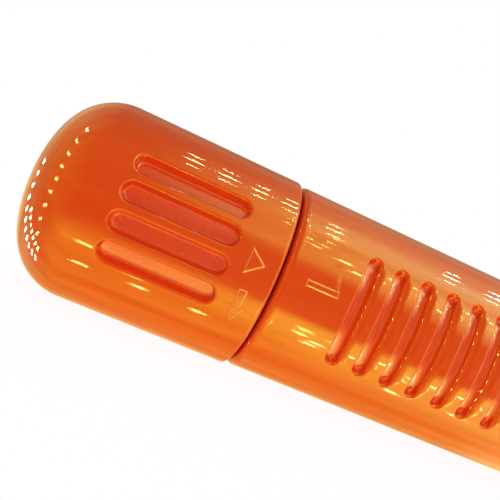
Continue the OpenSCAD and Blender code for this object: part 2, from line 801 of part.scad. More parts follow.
module lamp_leads() color("silver") placed() for (side = [-1, 1])
    wire([[lamp_x, side * lamp_lead_y, lamp_lift],
        [lamp_lead_x, side * lamp_lead_y, lamp_lift],
        [lamp_lead_x, side * lamp_lead_y, lamp_lead_z],
        [board_front_x - 2 * lead_bend, side * lamp_lead_y, lamp_lead_z],
        [board_front_x - 2 * lead_bend, side * lamp_lead_y, board_top_z]], lead_r);

// ---- The search coil ----

module coil_bobbin() color("ivory") placed() difference() {
    union() {
        disc(bobbin_r, bobbin_x, bobbin_front_x);
        for (x = flange_xs) disc(bobbin_flange_r, x, x + bobbin_flange_t);
    }
    disc(bobbin_bore_r, bobbin_x - cut, bobbin_front_x + cut);
    translate([bobbin_x - cut, -10 * lead_r, lead_z - lead_r - 0.4])
        cube([bobbin_len / 2, 20 * lead_r, bobbin_flange_r]);
}

module ferrite_rod() color("dimgray") placed() disc(rod_r, bobbin_x - 1.2, bobbin_front_x - 0.3);

module winding(from, to) {
    ring(winding_r, bobbin_r + 0.03, flange_xs[from] + bobbin_flange_t + 0.03, flange_xs[to] - 0.03);
}

module middle_winding() color("peru") placed() winding(1, 2);

module end_windings() color("sienna") placed() {
    winding(0, 1);
    winding(2, 3);
}

module coil_lead(x, y) {
    start_z = sqrt(pow(winding_r, 2) - pow(abs(y) - lead_r, 2));
    wire([[x, y, start_z], [x, y, lead_z], [board_front_x - 2 * lead_r, y, lead_z]], lead_r);
}

module coil_leads() color("goldenrod") placed() for (side = [-1, 1]) {
    coil_lead(flange_xs[1] + 2 * bobbin_flange_t, side * 2.4 * lead_r);
    coil_lead(flange_xs[0] + 2 * bobbin_flange_t, side * 7.2 * lead_r);
}

module tip_cushion() color("dimgray") placed()
    disc(nose_bore_r - tip_bore_r, bobbin_front_x + fit_gap, tip_x - tip_wall - fit_gap);

battery_cap();
cap_seal();
pressure_pad();
battery_case();
battery_terminals();
snap_plate();
snap_contacts();
battery_leads();
handle_shell();
power_button();
button_seal();
push_switch();
switch_plunger();
circuit_board();
control_chip();
small_chips();
storage_capacitors();
sounder();
inner_frame();
board_screws();
vibration_motor();
motor_shaft();
eccentric_weight();
motor_leads();
probe_shell();
joint_ring();
lamp();
lamp_leads();
lamp_window();
coil_bobbin();
ferrite_rod();
middle_winding();
end_windings();
coil_leads();
tip_cushion();
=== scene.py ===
"""Dresses the hand-held metal-finding probe and sets it up as in the photograph."""

import math

import bpy
import numpy as np
from bpy.props import FloatProperty, FloatVectorProperty, IntProperty, PointerProperty
from bpy.types import Operator, Panel, PropertyGroup
from mathutils import Matrix, Vector
from mathutils.bvhtree import BVHTree


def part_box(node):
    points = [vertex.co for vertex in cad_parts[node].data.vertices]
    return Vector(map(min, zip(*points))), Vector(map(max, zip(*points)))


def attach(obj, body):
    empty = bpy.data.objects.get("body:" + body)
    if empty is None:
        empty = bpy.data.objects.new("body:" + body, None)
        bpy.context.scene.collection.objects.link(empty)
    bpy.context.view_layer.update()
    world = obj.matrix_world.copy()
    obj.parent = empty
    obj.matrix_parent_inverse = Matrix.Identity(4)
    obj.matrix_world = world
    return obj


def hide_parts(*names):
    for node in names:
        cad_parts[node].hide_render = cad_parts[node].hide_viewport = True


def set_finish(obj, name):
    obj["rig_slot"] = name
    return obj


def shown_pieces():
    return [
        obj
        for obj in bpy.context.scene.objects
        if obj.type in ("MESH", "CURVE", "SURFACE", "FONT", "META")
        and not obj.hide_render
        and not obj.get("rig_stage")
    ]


bl_info = {
    "name": "Metal-finding probe",
    "version": (1, 0, 0),
    "blender": (4, 5, 0),
    "location": "View3D > Sidebar > Probe",
    "description": "Builds the outside, the finishes and the stage of a metal-finding probe",
    "category": "Object",
}

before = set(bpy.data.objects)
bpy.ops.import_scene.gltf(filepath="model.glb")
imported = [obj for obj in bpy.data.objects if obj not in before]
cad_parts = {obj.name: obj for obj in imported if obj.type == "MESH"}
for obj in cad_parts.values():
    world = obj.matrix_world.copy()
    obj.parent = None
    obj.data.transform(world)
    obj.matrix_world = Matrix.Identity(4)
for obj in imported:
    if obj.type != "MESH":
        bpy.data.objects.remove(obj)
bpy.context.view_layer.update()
MM = 0.001

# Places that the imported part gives, in metres
CAP_LOW, CAP_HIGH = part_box("battery_cap")
HANDLE_LOW, HANDLE_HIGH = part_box("handle_shell")
RIM_X = CAP_HIGH.x
AXIS_Z = (CAP_LOW.z + CAP_HIGH.z) / 2
CAP_RADIUS = (CAP_HIGH.z - CAP_LOW.z) / 2
HANDLE_RADIUS = (HANDLE_HIGH.z - HANDLE_LOW.z) / 2


def probe_place(x, angle, r):
    """A place in the frame from mm past the cap's rim, degrees up from -Y and mm off the axis."""
    a = math.radians(angle)
    return Vector((RIM_X + x * MM, -r * MM * math.cos(a), AXIS_Z + r * MM * math.sin(a)))


# ---- Image points ----
# Places in the photograph, in pixels from its top left corner. The object leaves the picture on
# the right, so it has no right or bottom edge here.

PHOTO_WIDE = PHOTO_HIGH = 500
LONG_SIDE = max(PHOTO_WIDE, PHOTO_HIGH)
RAY_REACH = 500  # mm along a ray in which the place nearest to it is looked for
IMAGE_POINTS = {
    "object left": (17.6, None),
    "object top": (None, 101.4),
    "rim top": (299, 185),
    "rim side": (277.5, 280),
    "rim bottom": (222, 362),
    "triangle": (254.4, 260.2),
    "arrow": (237.3, 304),
    "bar": (323, 289),
    "first slot rear": (134, 163),
    "first slot front": (253.5, 209),
    "last slot rear": (95, 249),
    "last slot front": (216.5, 294),
    "first groove top": (375.3, 255.5),
    "first groove bottom": (330.7, 364.8),
    "fifth groove top": (477.5, 307),
    "seventh groove bottom": (487.5, 427.5),
}


def tree_of(obj):
    """The object's faces, for rays. Every object here lies at the origin, unturned."""
    mesh = obj.data
    return BVHTree.FromPolygons([v.co for v in mesh.vertices], [f.vertices for f in mesh.polygons])


def surface_place(name, carrier):
    """Where an image point meets a carrier; a miss takes the place nearest the ray."""
    x, y = IMAGE_POINTS[name]
    camera = bpy.context.scene.camera
    lens = camera.data
    ray = Vector(
        (
            x - PHOTO_WIDE / 2 + lens.shift_x * LONG_SIDE,
            PHOTO_HIGH / 2 - y + lens.shift_y * LONG_SIDE,
            -LONG_SIDE * lens.lens / lens.sensor_width,
        )
    )
    start = camera.matrix_world.translation
    way = (camera.matrix_world.to_3x3() @ ray).normalized()
    tree = tree_of(carrier)
    hit = tree.ray_cast(start, way)[0]
    if hit is None:
        along = (tree.find_nearest(start + way * step * MM) for step in range(RAY_REACH))
        hit = min(along, key=lambda found: (found[0] - start).cross(way).length)[0]
    return hit


def rolled_out(place):
    """mm past the cap's rim, degrees up from -Y and mm off the axis, of a place in the frame."""
    up = place.z - AXIS_Z
    angle = math.degrees(math.atan2(up, -place.y))
    return (place.x - RIM_X) / MM, angle, math.hypot(place.y, up) / MM


def image_place(place):
    """Where a place in the frame shows, in pixels."""
    camera = bpy.context.scene.camera
    lens = camera.data
    x, y, z = camera.matrix_world.inverted() @ place
    scale = LONG_SIDE * lens.lens / lens.sensor_width / -z
    return (
        PHOTO_WIDE / 2 - lens.shift_x * LONG_SIDE + x * scale,
        PHOTO_HIGH / 2 + lens.shift_y * LONG_SIDE - y * scale,
    )


# ---- Skins rolled round the probe's axis ----
# The moulded slots, grooves and marks have soft rims on a round skin, which cutting and bevelling
# can't give cleanly. So each skin is a fine sheet whose height is a formula of place and angle.
# In these formulas lengths are in mm, x = 0 is the cap's rim and angles run up from the -Y side.

BEAD_HEIGHT = 0.03  # of the fine line that follows the seam on either side
SAME_LINE = 1e-6  # mm or degrees within which two grid lines count as one
SMALL_STEP = 0.005  # mm over which a formula's slope is taken
SMALL_TURN = math.degrees(SMALL_STEP / 20)  # degrees, about as far round a skin of 20 mm radius


def spread(stops):
    """Grid lines from (from, to, step) stretches, in order and without repeats."""
    lines = []
    for low, high, step in stops:
        count = max(1, round((high - low) / step))
        lines += [low + (high - low) * i / count for i in range(count + 1)]
    lines = np.array(sorted(lines))
    return lines[np.concatenate([[True], np.diff(lines) > SAME_LINE])]


def moulded_depth(inside, depth, draft, lip, foot):
    """Depth at a distance inside an outline: a soft lip, a leaning wall and a soft foot."""
    lean = math.tan(math.radians(draft))
    reach = math.tan(math.radians(90 - draft) / 2)
    turn = math.cos(math.radians(draft))
    lip_start = -lip * reach
    lip_end = lip_start + lip * turn
    foot_end = depth * lean + foot * reach
    foot_start = foot_end - foot * turn
    lip_part = lip - np.sqrt(np.clip(lip**2 - (inside - lip_start) ** 2, 0, None))
    foot_part = depth - foot + np.sqrt(np.clip(foot**2 - (foot_end - inside) ** 2, 0, None))
    return np.select(
        [inside <= lip_start, inside < lip_end, inside < foot_start, inside < foot_end],
        [np.zeros_like(inside), lip_part, inside / lean, foot_part],
        depth,
    )


def inside_long_round(along, across, length, width):
    """Distance inside a flat shape with round ends; negative outside it."""
    past = np.clip(np.abs(along) - (length - width) / 2, 0, None)
    return width / 2 - np.hypot(past, across)


def inside_polygon(x, y, corners):
    """Distance inside a polygon without hollows, its corners anticlockwise; negative outside."""
    found = np.full(np.broadcast(x, y).shape, np.inf)
    for (ax, ay), (bx, by) in zip(corners, corners[1:] + corners[:1]):
        length = math.hypot(bx - ax, by - ay)
        found = np.minimum(found, ((bx - ax) * (y - ay) - (by - ay) * (x - ax)) / length)
    return found


def eased(share):
    """The share kept between 0 and 1, with a soft start and a soft end."""
    t = np.clip(share, 0, 1)
    return t * t * (3 - 2 * t)


def soft_rise(inside, height, edge):
    """Height of a raised mark whose edges slope up over a width."""
    return height * eased(inside / edge + 0.5)


def bead(x, middle, width):
    """Height of a fine raised line round the skin."""
    return BEAD_HEIGHT * np.exp(-(((x - middle) / width) ** 2))


def turn_between(angle, middle):
    """Degrees from a middle angle to an angle, from -180 to 180."""
    return (angle - middle + 180) % 360 - 180


def round_rows(x, r, radius, start, end, count):
    """Rows (x, r, normal along x, normal outwards) round an arc in the outline."""
    rows = []
    for i in range(count + 1):
        a = math.radians(start + (end - start) * i / count)
        rows.append((x + radius * math.cos(a), r + radius * math.sin(a), math.cos(a), math.sin(a)))
    return rows


def outline_rows(points, steps=3):
    """Rows along straight stretches between (x, r, rounding) points, their corners rounded."""
    rows = []
    for i, (x, r, rounding) in enumerate(points):
        here = Vector((x, r))
        before = (here - Vector(points[i - 1][:2])).normalized() if i else None
        after = (Vector(points[i + 1][:2]) - here).normalized() if i + 1 < len(points) else None
        if before is None or after is None:
            way = after or before
            rows.append((x, r, -way.y, way.x))
            continue
        turn = math.atan2(before.x * after.y - before.y * after.x, before.dot(after))
        back = rounding * math.tan(abs(turn) / 2)
        side = -1 if turn < 0 else 1
        start = math.atan2(before.x, -before.y)
        normal = Vector((math.cos(start), math.sin(start)))
        centre = here - before * back + normal * rounding * side
        for k in range(steps + 1):
            a = start + turn * k / steps
            n = Vector((math.cos(a), math.sin(a)))
            place = centre - n * rounding * side
            rows.append((place.x, place.y, n.x, n.y))
    return rows


class Skin:
    """Gathers the rows of a skin that closes on itself, or on its axis at both ends."""

    def __init__(self, angles):
        self.angles = np.asarray(angles)
        self.points, self.normals = [], []

    def plain(self, rows):
        """Rows that are round about the axis."""
        ones = np.ones(len(self.angles))
        for x, r, nx, nr in rows:
            self._add(x * ones, r * ones, nx * ones, nr * ones, 0 * ones)

    def hollow_round(self, x, r, radius, start, end, count):
        """Rows round an arc whose skin faces its middle."""
        self.plain([(x, r, -nx, -nr) for x, r, nx, nr in round_rows(x, r, radius, start, end, count)])

    def formed(self, x, radius):
        """A row whose radius is a formula of x and angle. x may change along the row."""
        a = self.angles
        x = x + np.zeros(len(a))
        r = radius(x, a)
        along = (radius(x + SMALL_STEP, a) - radius(x - SMALL_STEP, a)) / (2 * SMALL_STEP)
        across = radius(x, a + SMALL_TURN) - radius(x, a - SMALL_TURN)
        across = across / math.radians(2 * SMALL_TURN) / r
        self._add(x, r, -along, np.ones(len(a)), -across)

    def _add(self, x, r, nx, nr, nt):
        """Adds a row of places, with its normals' parts along, outwards and round."""
        a = np.radians(self.angles)
        zero = np.zeros_like(a)
        outwards = np.stack([zero, -np.cos(a), np.sin(a)], 1)
        upwards = np.stack([zero, np.sin(a), np.cos(a)], 1)
        point = outwards * r[:, None]
        point[:, 0] = x
        normal = outwards * nr[:, None] + upwards * nt[:, None]
        normal[:, 0] = nx
        self.points.append(point)
        self.normals.append(normal / np.linalg.norm(normal, axis=1)[:, None])

    def build(self, name, first=None, last=None):
        """Makes the object. first and last are the x of the points that close its ends."""
        count, rows = len(self.angles), len(self.points)
        here = np.arange(count)
        there = np.roll(here, -1)
        pairs = [(i, i + 1) for i in range(rows - 1)]
        if first is None:
            pairs.append((rows - 1, 0))
        faces = np.concatenate(
            [
                np.stack([i * count + here, j * count + here, j * count + there, i * count + there], 1)
                for i, j in pairs
            ]
        ).tolist()
        points, normals = np.concatenate(self.points), np.concatenate(self.normals)
        if first is not None:
            base = rows * count
            points = np.concatenate([points, [[first, 0, 0], [last, 0, 0]]])
            normals = np.concatenate([normals, [self._end_normal(0), self._end_normal(-1)]])
            tail = (rows - 1) * count
            faces += [(base, here[i], there[i]) for i in range(count)]
            faces += [(base + 1, tail + there[i], tail + here[i]) for i in range(count)]
        mesh = bpy.data.meshes.new(name)
        mesh.from_pydata((points * MM + [RIM_X, 0, AXIS_Z]).tolist(), [], faces)
        mesh.update()
        mesh.shade_smooth()
        mesh.normals_split_custom_set_from_vertices(normals.tolist())
        obj = bpy.data.objects.new(name, mesh)
        bpy.context.scene.collection.objects.link(obj)
        return obj

    def _end_normal(self, row):
        """The normal of an end's point, along the axis as its first or last row is."""
        return [np.sign(self.normals[row][:, 0].mean()), 0, 0]


def new_mesh_piece(obj, name, slot, body, *nodes):
    """Names a finished piece, ties it to its body and lets it stand for its CAD nodes."""
    obj.name = obj.data.name = name
    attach(obj, body)
    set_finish(obj, slot)
    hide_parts(*nodes)
    return obj


# ---- Materials ----


class Flow:
    """A socket in a material, so that shader maths reads as an expression."""

    def __init__(self, tree, socket):
        self.tree, self.socket = tree, socket

    def _math(self, kind, *values):
        """A maths node for these values, or for the socket alone."""
        values = values or (self,)
        node = self.tree.nodes.new("ShaderNodeMath")
        node.operation = kind
        for slot, value in zip(node.inputs, values):
            if isinstance(value, Flow):
                self.tree.links.new(value.socket, slot)
            else:
                slot.default_value = value
        return Flow(self.tree, node.outputs[0])

    def __add__(self, other):
        return self._math("ADD", self, other)

    def __radd__(self, other):
        return self._math("ADD", other, self)

    def __sub__(self, other):
        return self._math("SUBTRACT", self, other)

    def __rsub__(self, other):
        return self._math("SUBTRACT", other, self)

    def __mul__(self, other):
        return self._math("MULTIPLY", self, other)

    def __rmul__(self, other):
        return self._math("MULTIPLY", other, self)

    def root(self):
        """The square root."""
        return self._math("SQRT")

    def size(self):
        """The value without its sign."""
        return self._math("ABSOLUTE")

    def larger(self, other):
        """The larger of two values."""
        return self._math("MAXIMUM", self, other)

    def turn_from(self, other):
        """The angle whose height is this value and whose run is the other."""
        return self._math("ARCTAN2", self, other)

    def clamped(self):
        """The value kept between 0 and 1."""
        self.socket.node.use_clamp = True
        return self


class Nodes:
    """A tree of nodes, with the one method that adds a node other than a maths node to it."""

    def __init__(self, tree):
        self.tree = tree

    def node(self, kind, settings=None, output=0, by_index=None, **values):
        """Adds a node: its settings first, then its sockets, by name or index, as values or links."""
        node = self.tree.nodes.new(kind)
        for key, value in (settings or {}).items():
            if key == "stops":
                set_stops(node.color_ramp, value)
            else:
                setattr(node, key, value)
        sockets = {key.replace("_", " "): value for key, value in values.items()}
        for key, value in {**sockets, **(by_index or {})}.items():
            self.give(node.inputs[key], value)
        return Flow(self.tree, node.outputs[output])

    def give(self, socket, value):
        """Links a flow to a socket, or sets its value."""
        if isinstance(value, Flow):
            self.tree.links.new(value.socket, socket)
        else:
            socket.default_value = value

    def flow(self, socket):
        """A socket of a node that is there already, for use in an expression."""
        return Flow(self.tree, socket)

    def outputs(self, kind, **values):
        """All outputs of a new node, by name."""
        node = self.node(kind, **values).socket.node
        return {socket.name: self.flow(socket) for socket in node.outputs}

    def blend(self, amount, a, b):
        """A colour between two colours."""
        return self.node("ShaderNodeMix", {"data_type": "RGBA"}, 2, {0: amount, 6: a, 7: b})


def set_stops(ramp, stops):
    """Gives a ramp its stops, each a place and a colour, with soft turns between them."""
    ramp.interpolation = "EASE"
    while len(ramp.elements) < len(stops):
        ramp.elements.new(0.5)
    for element, (place, tint) in zip(ramp.elements, stops):
        element.position = place
        element.color = tint


class Finish(Nodes):
    """A material with its main shader."""

    def __init__(self, name, **constants):
        self.material = bpy.data.materials.new(name)
        self.material.use_nodes = True
        super().__init__(self.material.node_tree)
        self.shader = self.tree.nodes["Principled BSDF"]
        self.feed(**constants)
        self.place = self.node("ShaderNodeTexCoord", output="Object")

    def noise(self, scale, detail=3.0):
        """Noise in the piece's own place; scale is in waves to the metre."""
        return self.node("ShaderNodeTexNoise", Vector=self.place, Scale=scale, Detail=detail)

    def stretched_noise(self, scale, along):
        """Noise drawn out along an axis: along is the stretch of x, y and z."""
        place = self.node("ShaderNodeMapping", Vector=self.place, Scale=along)
        return self.node("ShaderNodeTexNoise", Vector=place, Scale=scale, Detail=2.0)

    def between(self, value, low, high, out_low=0.0, out_high=1.0):
        """The value, stretched so that low gives out_low and high gives out_high."""
        return self.node(
            "ShaderNodeMapRange",
            Value=value,
            From_Min=low,
            From_Max=high,
            To_Min=out_low,
            To_Max=out_high,
        )

    def feed(self, **values):
        """Links flows to the main shader, or sets its values."""
        for key, value in values.items():
            self.give(self.shader.inputs[key.replace("_", " ")], value)

    def bump(self, height, strength, distance):
        """Roughens the skin; distance is the height of the bumps in metres."""
        bumped = self.node("ShaderNodeBump", Height=height, Strength=strength, Distance=distance)
        self.feed(Normal=bumped)

    def show(self, shader):
        """Makes another shader the material's surface."""
        self.give(self.tree.nodes["Material Output"].inputs["Surface"], shader)


def toned(colour, factor):
    """The colour, lighter or darker."""
    return (*[min(1.0, c * factor) for c in colour[:3]], 1.0)


def moulded_plastic(name, colour, roughness, variation=0.06, grain=0.00002, **constants):
    """Injection-moulded plastic: faint flow marks in its colour, and a skin that isn't quite flat."""
    finish = Finish(name, **constants)
    flow = finish.noise(35.0, 2.0)
    fine = finish.noise(900.0)
    finish.feed(
        Base_Color=finish.blend(flow, toned(colour, 1 - variation), toned(colour, 1 + variation)),
        Roughness=finish.between(fine, 0.3, 0.7, roughness * 0.85, roughness * 1.15),
    )
    finish.bump(finish.noise(110.0, 1.0) + fine * 0.02, 0.35, grain)
    return finish.material


# Where the shells' finish changes, in metres: pairs are where it starts and where it is full
GRIP_MIDDLE = 0.0145  # from the rim to the middle of the slots and grooves
GRIP_REACH = (0.048, 0.047)  # either side of that middle
SEAM_REACH = (0.0016, 0.0008)  # either side of the rim
RECESS_RADII = (0.0189, 0.0183)  # off the axis, inside slots and grooves
SEAM_RADII = (0.0192, 0.018)
# Colour of the painted shade inside the seam between cap and handle
SEAM_SHADE = (0.06, 0.004, 0.003, 1)
# Colour of the painted highlights on the raised marks' edges
EDGE_HIGHLIGHT = (1.0, 0.42, 0.1, 1)


def shell_plastic(name, colour, roughness, **constants):
    """The glossy shells: a polished skin, duller and with painted shade in the recesses, painted shade
    in the seam and painted highlights on the marks' edges.
    """
    finish = Finish(name, **constants)
    x, y, z = finish.outputs("ShaderNodeSeparateXYZ", Vector=finish.place).values()
    z = z - AXIS_Z
    off_axis = (y * y + z * z).root()
    gripped = finish.between((x - RIM_X - GRIP_MIDDLE).size(), *GRIP_REACH)
    recess = finish.between(off_axis, *RECESS_RADII) * gripped
    # Painted shade: near the rim, the skin below the outer surface darkens almost to black
    near_rim = finish.between((x - RIM_X).size(), *SEAM_REACH)
    seam = finish.between(off_axis, *SEAM_RADII) * near_rim
    flow = finish.noise(35.0, 2.0)
    grain = finish.noise(1500.0, 1.0)
    tone = finish.blend(flow, toned(colour, 0.95), toned(colour, 1.04))
    # Painted shade: the colour is darker inside the slots and grooves, with random grain
    recess_shade = finish.blend(grain, toned(colour, 0.74), toned(colour, 0.92))
    tone = finish.blend(recess * 0.7, tone, recess_shade)
    # Painted highlights: the raised marks' sloping edges are paler, more so lower down, on the side
    # away from the upper light
    skin = finish.between(x, RIM_X, RIM_X + 0.1 * MM, CAP_RADIUS, HANDLE_RADIUS)
    raised = off_axis - skin
    edge_highlight = finish.between(raised, 0.00002, 0.00009) * finish.between(raised, 0.00019, 0.00014)
    edge_highlight = edge_highlight * gripped * finish.between(z, -0.004, -0.001, 0.9, 0.4)
    tone = finish.blend(edge_highlight, tone, EDGE_HIGHLIGHT)
    finish.feed(
        Coat_Weight=recess * 0.5,
        Base_Color=finish.blend(seam * 0.85, tone, SEAM_SHADE),
        Roughness=finish.between(finish.noise(500.0), 0.3, 0.7, roughness * 0.8, roughness * 1.2)
        + recess * (grain * 0.1 + 0.14),
    )
    drawn = finish.stretched_noise(420.0, (0.12, 1, 1))
    finish.bump(finish.noise(90.0, 1.0) + drawn * 0.12 + recess * grain * 0.15, 0.35, 0.00002)
    return finish.material


def metal(name, colour, roughness, along=(1, 1, 1)):
    """Metal with fine marks drawn out along one way."""
    finish = Finish(name, Metallic=1.0)
    marks = finish.stretched_noise(2500.0, along)
    finish.feed(
        Base_Color=finish.blend(marks, toned(colour, 0.85), toned(colour, 1.08)),
        Roughness=finish.between(marks, 0.3, 0.7, roughness * 0.7, roughness * 1.3),
    )
    finish.bump(marks, 0.2, 0.00001)
    return finish.material


def rubber(name, colour, roughness=0.6, pores=1500.0):
    """Rubber or foam: a dull skin with fine pores."""
    finish = Finish(name)
    grain = finish.noise(pores)
    finish.feed(
        Base_Color=finish.blend(grain, toned(colour, 0.75), toned(colour, 1.3)),
        Roughness=finish.between(grain, 0.3, 0.7, roughness - 0.08, roughness + 0.08),
    )
    finish.bump(grain, 0.5, 0.00003)
    return finish.material


def wound_wire(name, colour):
    """Lacquered wire wound side by side along the probe, its colour darker between the turns as
    painted shade.
    """
    finish = Finish(name, Metallic=0.6, Roughness=0.35)
    turns = finish.node(
        "ShaderNodeTexWave",
        {"wave_type": "BANDS", "bands_direction": "X", "wave_profile": "SIN"},
        Vector=finish.place,
        Scale=700.0,
        Distortion=0.4,
    )
    finish.feed(Base_Color=finish.blend(turns, toned(colour, 0.4), toned(colour, 1.15)))
    finish.bump(turns, 0.8, 0.00008)
    return finish.material


def board_laminate(name, colour):
    """Lacquered board with paler tracks that run along and across it."""
    finish = Finish(name, Roughness=0.35, Coat_Weight=0.3)
    cells = finish.node(
        "ShaderNodeTexVoronoi",
        {"distance": "MANHATTAN", "feature": "F1"},
        Vector=finish.place,
        Scale=320.0,
    )
    tracks = finish.between(cells, 0.55, 0.6)
    finish.feed(Base_Color=finish.blend(tracks, (*colour[:3], 1), toned(colour, 1.9)))
    finish.bump(tracks, 0.4, 0.00003)
    return finish.material


def clear_resin(name, colour, roughness, transmission):
    """Clear plastic with a faint ripple."""
    finish = Finish(name, Transmission_Weight=transmission, IOR=1.49, Roughness=roughness)
    ripple = finish.noise(500.0)
    finish.feed(Base_Color=finish.blend(ripple, toned(colour, 0.96), (*colour[:3], 1)))
    finish.bump(ripple, 0.15, 0.00002)
    return finish.material


# ---- What a user would change ----


def metres(name, description, default):
    """A length property, in metres."""
    return FloatProperty(
        name=name, description=description, default=default, min=0, unit="LENGTH", precision=5
    )


def degrees(name, description, default):
    """An angle property, given in degrees."""
    return FloatProperty(
        name=name, description=description, default=math.radians(default), subtype="ANGLE"
    )


def rgb(name, description, default):
    """A colour property, given as linear red, green and blue."""
    return FloatVectorProperty(
        name=name, description=description, default=default, subtype="COLOR", size=3, min=0, max=1
    )


class CapSizes(PropertyGroup):
    """Sizes of the battery cap's outside"""

    slot_count: IntProperty(
        name="Slots per side", description="Grip slots in each of the two groups", default=4, min=1
    )
    slot_pitch: degrees("Slot pitch", "Angle from one grip slot to the next", 15.4)
    slot_length: metres("Slot length", "Length of a grip slot at the skin", 0.0207)
    slot_width: metres("Slot width", "Width of a grip slot at the skin", 0.0038)
    slot_depth: metres("Slot depth", "Depth of a grip slot", 0.0019)
    slot_setback: metres("Slot setback", "From the cap's rim to the slots", 0.0084)
    slot_draft: degrees("Slot draft", "Lean of the slots' walls", 9.0)
    slot_lip: metres("Slot lip", "Rounding where a slot meets the skin", 0.00045)
    slot_foot: metres("Slot foot", "Rounding where a slot's wall meets its floor", 0.0004)
    rest_angle: degrees("Rest angle", "Angle of the group's middle and of the triangle", 2.0)
    crown_radius: metres("Crown radius", "Radius of the slightly domed end", 0.052)
    end_rounding: metres("End rounding", "Rounding between the end and the side", 0.011)
    rim_rounding: metres("Rim rounding", "Rounding of the open rim", 0.0008)
    mark_height: metres("Mark height", "How far the moulded marks stand out", 0.0002)
    mark_slope: metres("Mark slope", "Width of the marks' sloping edges", 0.00045)
    skirt_radius: metres("Skirt radius", "Inside of the skirt round the handle's neck", 0.01811)
    skirt_depth: metres("Skirt depth", "From the rim to the seat of the seal", 0.00765)
    bore_radius: metres("Bore radius", "Inside of the cap past the skirt", 0.01651)
    bore_depth: metres("Bore depth", "From the rim to the inner floor", 0.0434)
    bore_rounding: metres("Bore rounding", "Rounding between bore and floor", 0.006)


class HandleSizes(PropertyGroup):
    """Sizes of the handle's outside"""

    seam_gap: metres("Seam gap", "Gap between the cap's rim and the handle", 0.0004)
    shoulder_rounding: metres("Shoulder rounding", "Rounding of the edge at the cap", 0.0015)
    neck_radius: metres("Neck radius", "Outside of the neck inside the cap", 0.01781)
    neck_bore: metres("Neck bore", "Inside of the neck, round the battery", 0.01611)
    bay_radius: metres("Bay radius", "Inside of the handle", 0.01685)
    bay_setback: metres("Bay setback", "From the rim to where the inside widens", 0.0116)
    groove_count: IntProperty(
        name="Grooves per side", description="Grip grooves on each side", default=9, min=1
    )
    groove_start: metres("First groove", "From the cap's rim to the first groove", 0.0151)
    groove_pitch: metres("Groove pitch", "From one groove to the next", 0.00543)
    groove_width: metres("Groove width", "Width of a groove at the skin", 0.0024)
    groove_depth: metres("Groove depth", "Depth of a groove", 0.0016)
    groove_reach: degrees("Groove reach", "Angle from a groove's middle to its end", 31.5)
    groove_bow: metres("Groove bow", "How far a groove's middle bows towards the cap", 0.00075)
    groove_lip: metres("Groove lip", "Rounding at a groove's edge towards the cap", 0.0005)
    groove_draft: degrees("Groove draft", "Lean of a groove's wall towards the cap", 7.0)
    run_out_lip: metres("Run-out lip", "Rounding at a groove's edge towards the tip", 0.0016)
    run_out_draft: degrees("Run-out draft", "Lean of a groove's wall towards the tip", 32.0)
    run_out: metres("Run-out", "How far that wall reaches past the groove's width", 0.00045)
    bar_length: metres("Bar length", "Length of the moulded bar", 0.0059)
    bar_width: metres("Bar width", "Width of the moulded bar", 0.001)
    stroke_length: metres("Stroke length", "Length of the fine stroke at the bar's end", 0.0059)
    button_room: metres("Button room", "Gap all round the button", 0.0003)


class ProbeSizes(PropertyGroup):
    """Sizes of the probe's shell"""

    handle_radius: metres("Shoulder radius", "Radius where the shell meets the handle", 0.01965)
    taper_length: metres("Taper length", "From the handle to the barrel", 0.03)
    barrel_radius: metres("Barrel radius", "Radius of the barrel", 0.0125)
    barrel_length: metres("Barrel length", "Length of the barrel", 0.036)
    nose_radius: metres("Nose radius", "Radius of the nose", 0.0112)
    nose_step: metres("Nose step", "Length over which barrel turns into nose", 0.003)
    tip_rounding: metres("Tip rounding", "Rounding of the tip", 0.007)
    wall: metres("Wall", "Thickness of the shell", 0.0019)
    tip_wall: metres("Tip wall", "Thickness of the tip", 0.003)
    nose_bore: metres("Nose bore", "Inside of the nose", 0.0093)
    spigot_radius: metres("Spigot radius", "Outside of the end inside the handle", 0.0168)
    spigot_bore: metres("Spigot bore", "Inside of that end", 0.0148)
    hood_radius: metres("Hood radius", "Outside of the lamp's hood", 0.00415)
    hood_lift: metres("Hood lift", "From the probe's axis to the hood's", 0.0155)
    hood_start: metres("Hood start", "From the handle to the hood", 0.003)
    hood_length: metres("Hood length", "Length of the hood", 0.0155)
    lamp_hole: metres("Lamp hole", "Radius of the hole in the hood", 0.00285)
    lamp_hole_depth: metres("Lamp hole depth", "Depth of that hole", 0.0175)
    rib_setback: metres("Rib setback", "From the nose's start to the scraping rib", 0.004)
    rib_length: metres("Rib length", "Length of the scraping rib", 0.027)
    rib_width: metres("Rib width", "Width of the scraping rib", 0.0018)
    rib_height: metres("Rib height", "How far the scraping rib stands out", 0.0012)


class ButtonSizes(PropertyGroup):
    """Sizes of the power button"""

    edge_rounding: metres("Edge rounding", "Rounding of the pad's edge", 0.0009)
    dish_radius: metres("Dish radius", "Reach of the dip in the pad", 0.0036)
    dish_depth: metres("Dish depth", "Depth of the dip in the pad", 0.00035)
    dish_rings: IntProperty(
        name="Dish rings", description="Rings of faces that carry the dip", default=9, min=1
    )
    ring_width: metres("Ring width", "Width of a ring", 0.0004)
    flange_width: metres("Flange width", "How far the hidden flange stands out", 0.0014)
    flange_thickness: metres("Flange thickness", "Thickness of the hidden flange", 0.0012)
    stem_length: metres("Stem length", "Length of the stem that meets the switch", 0.00078)
    stem_radius: metres("Stem radius", "Radius of the stem", 0.002)


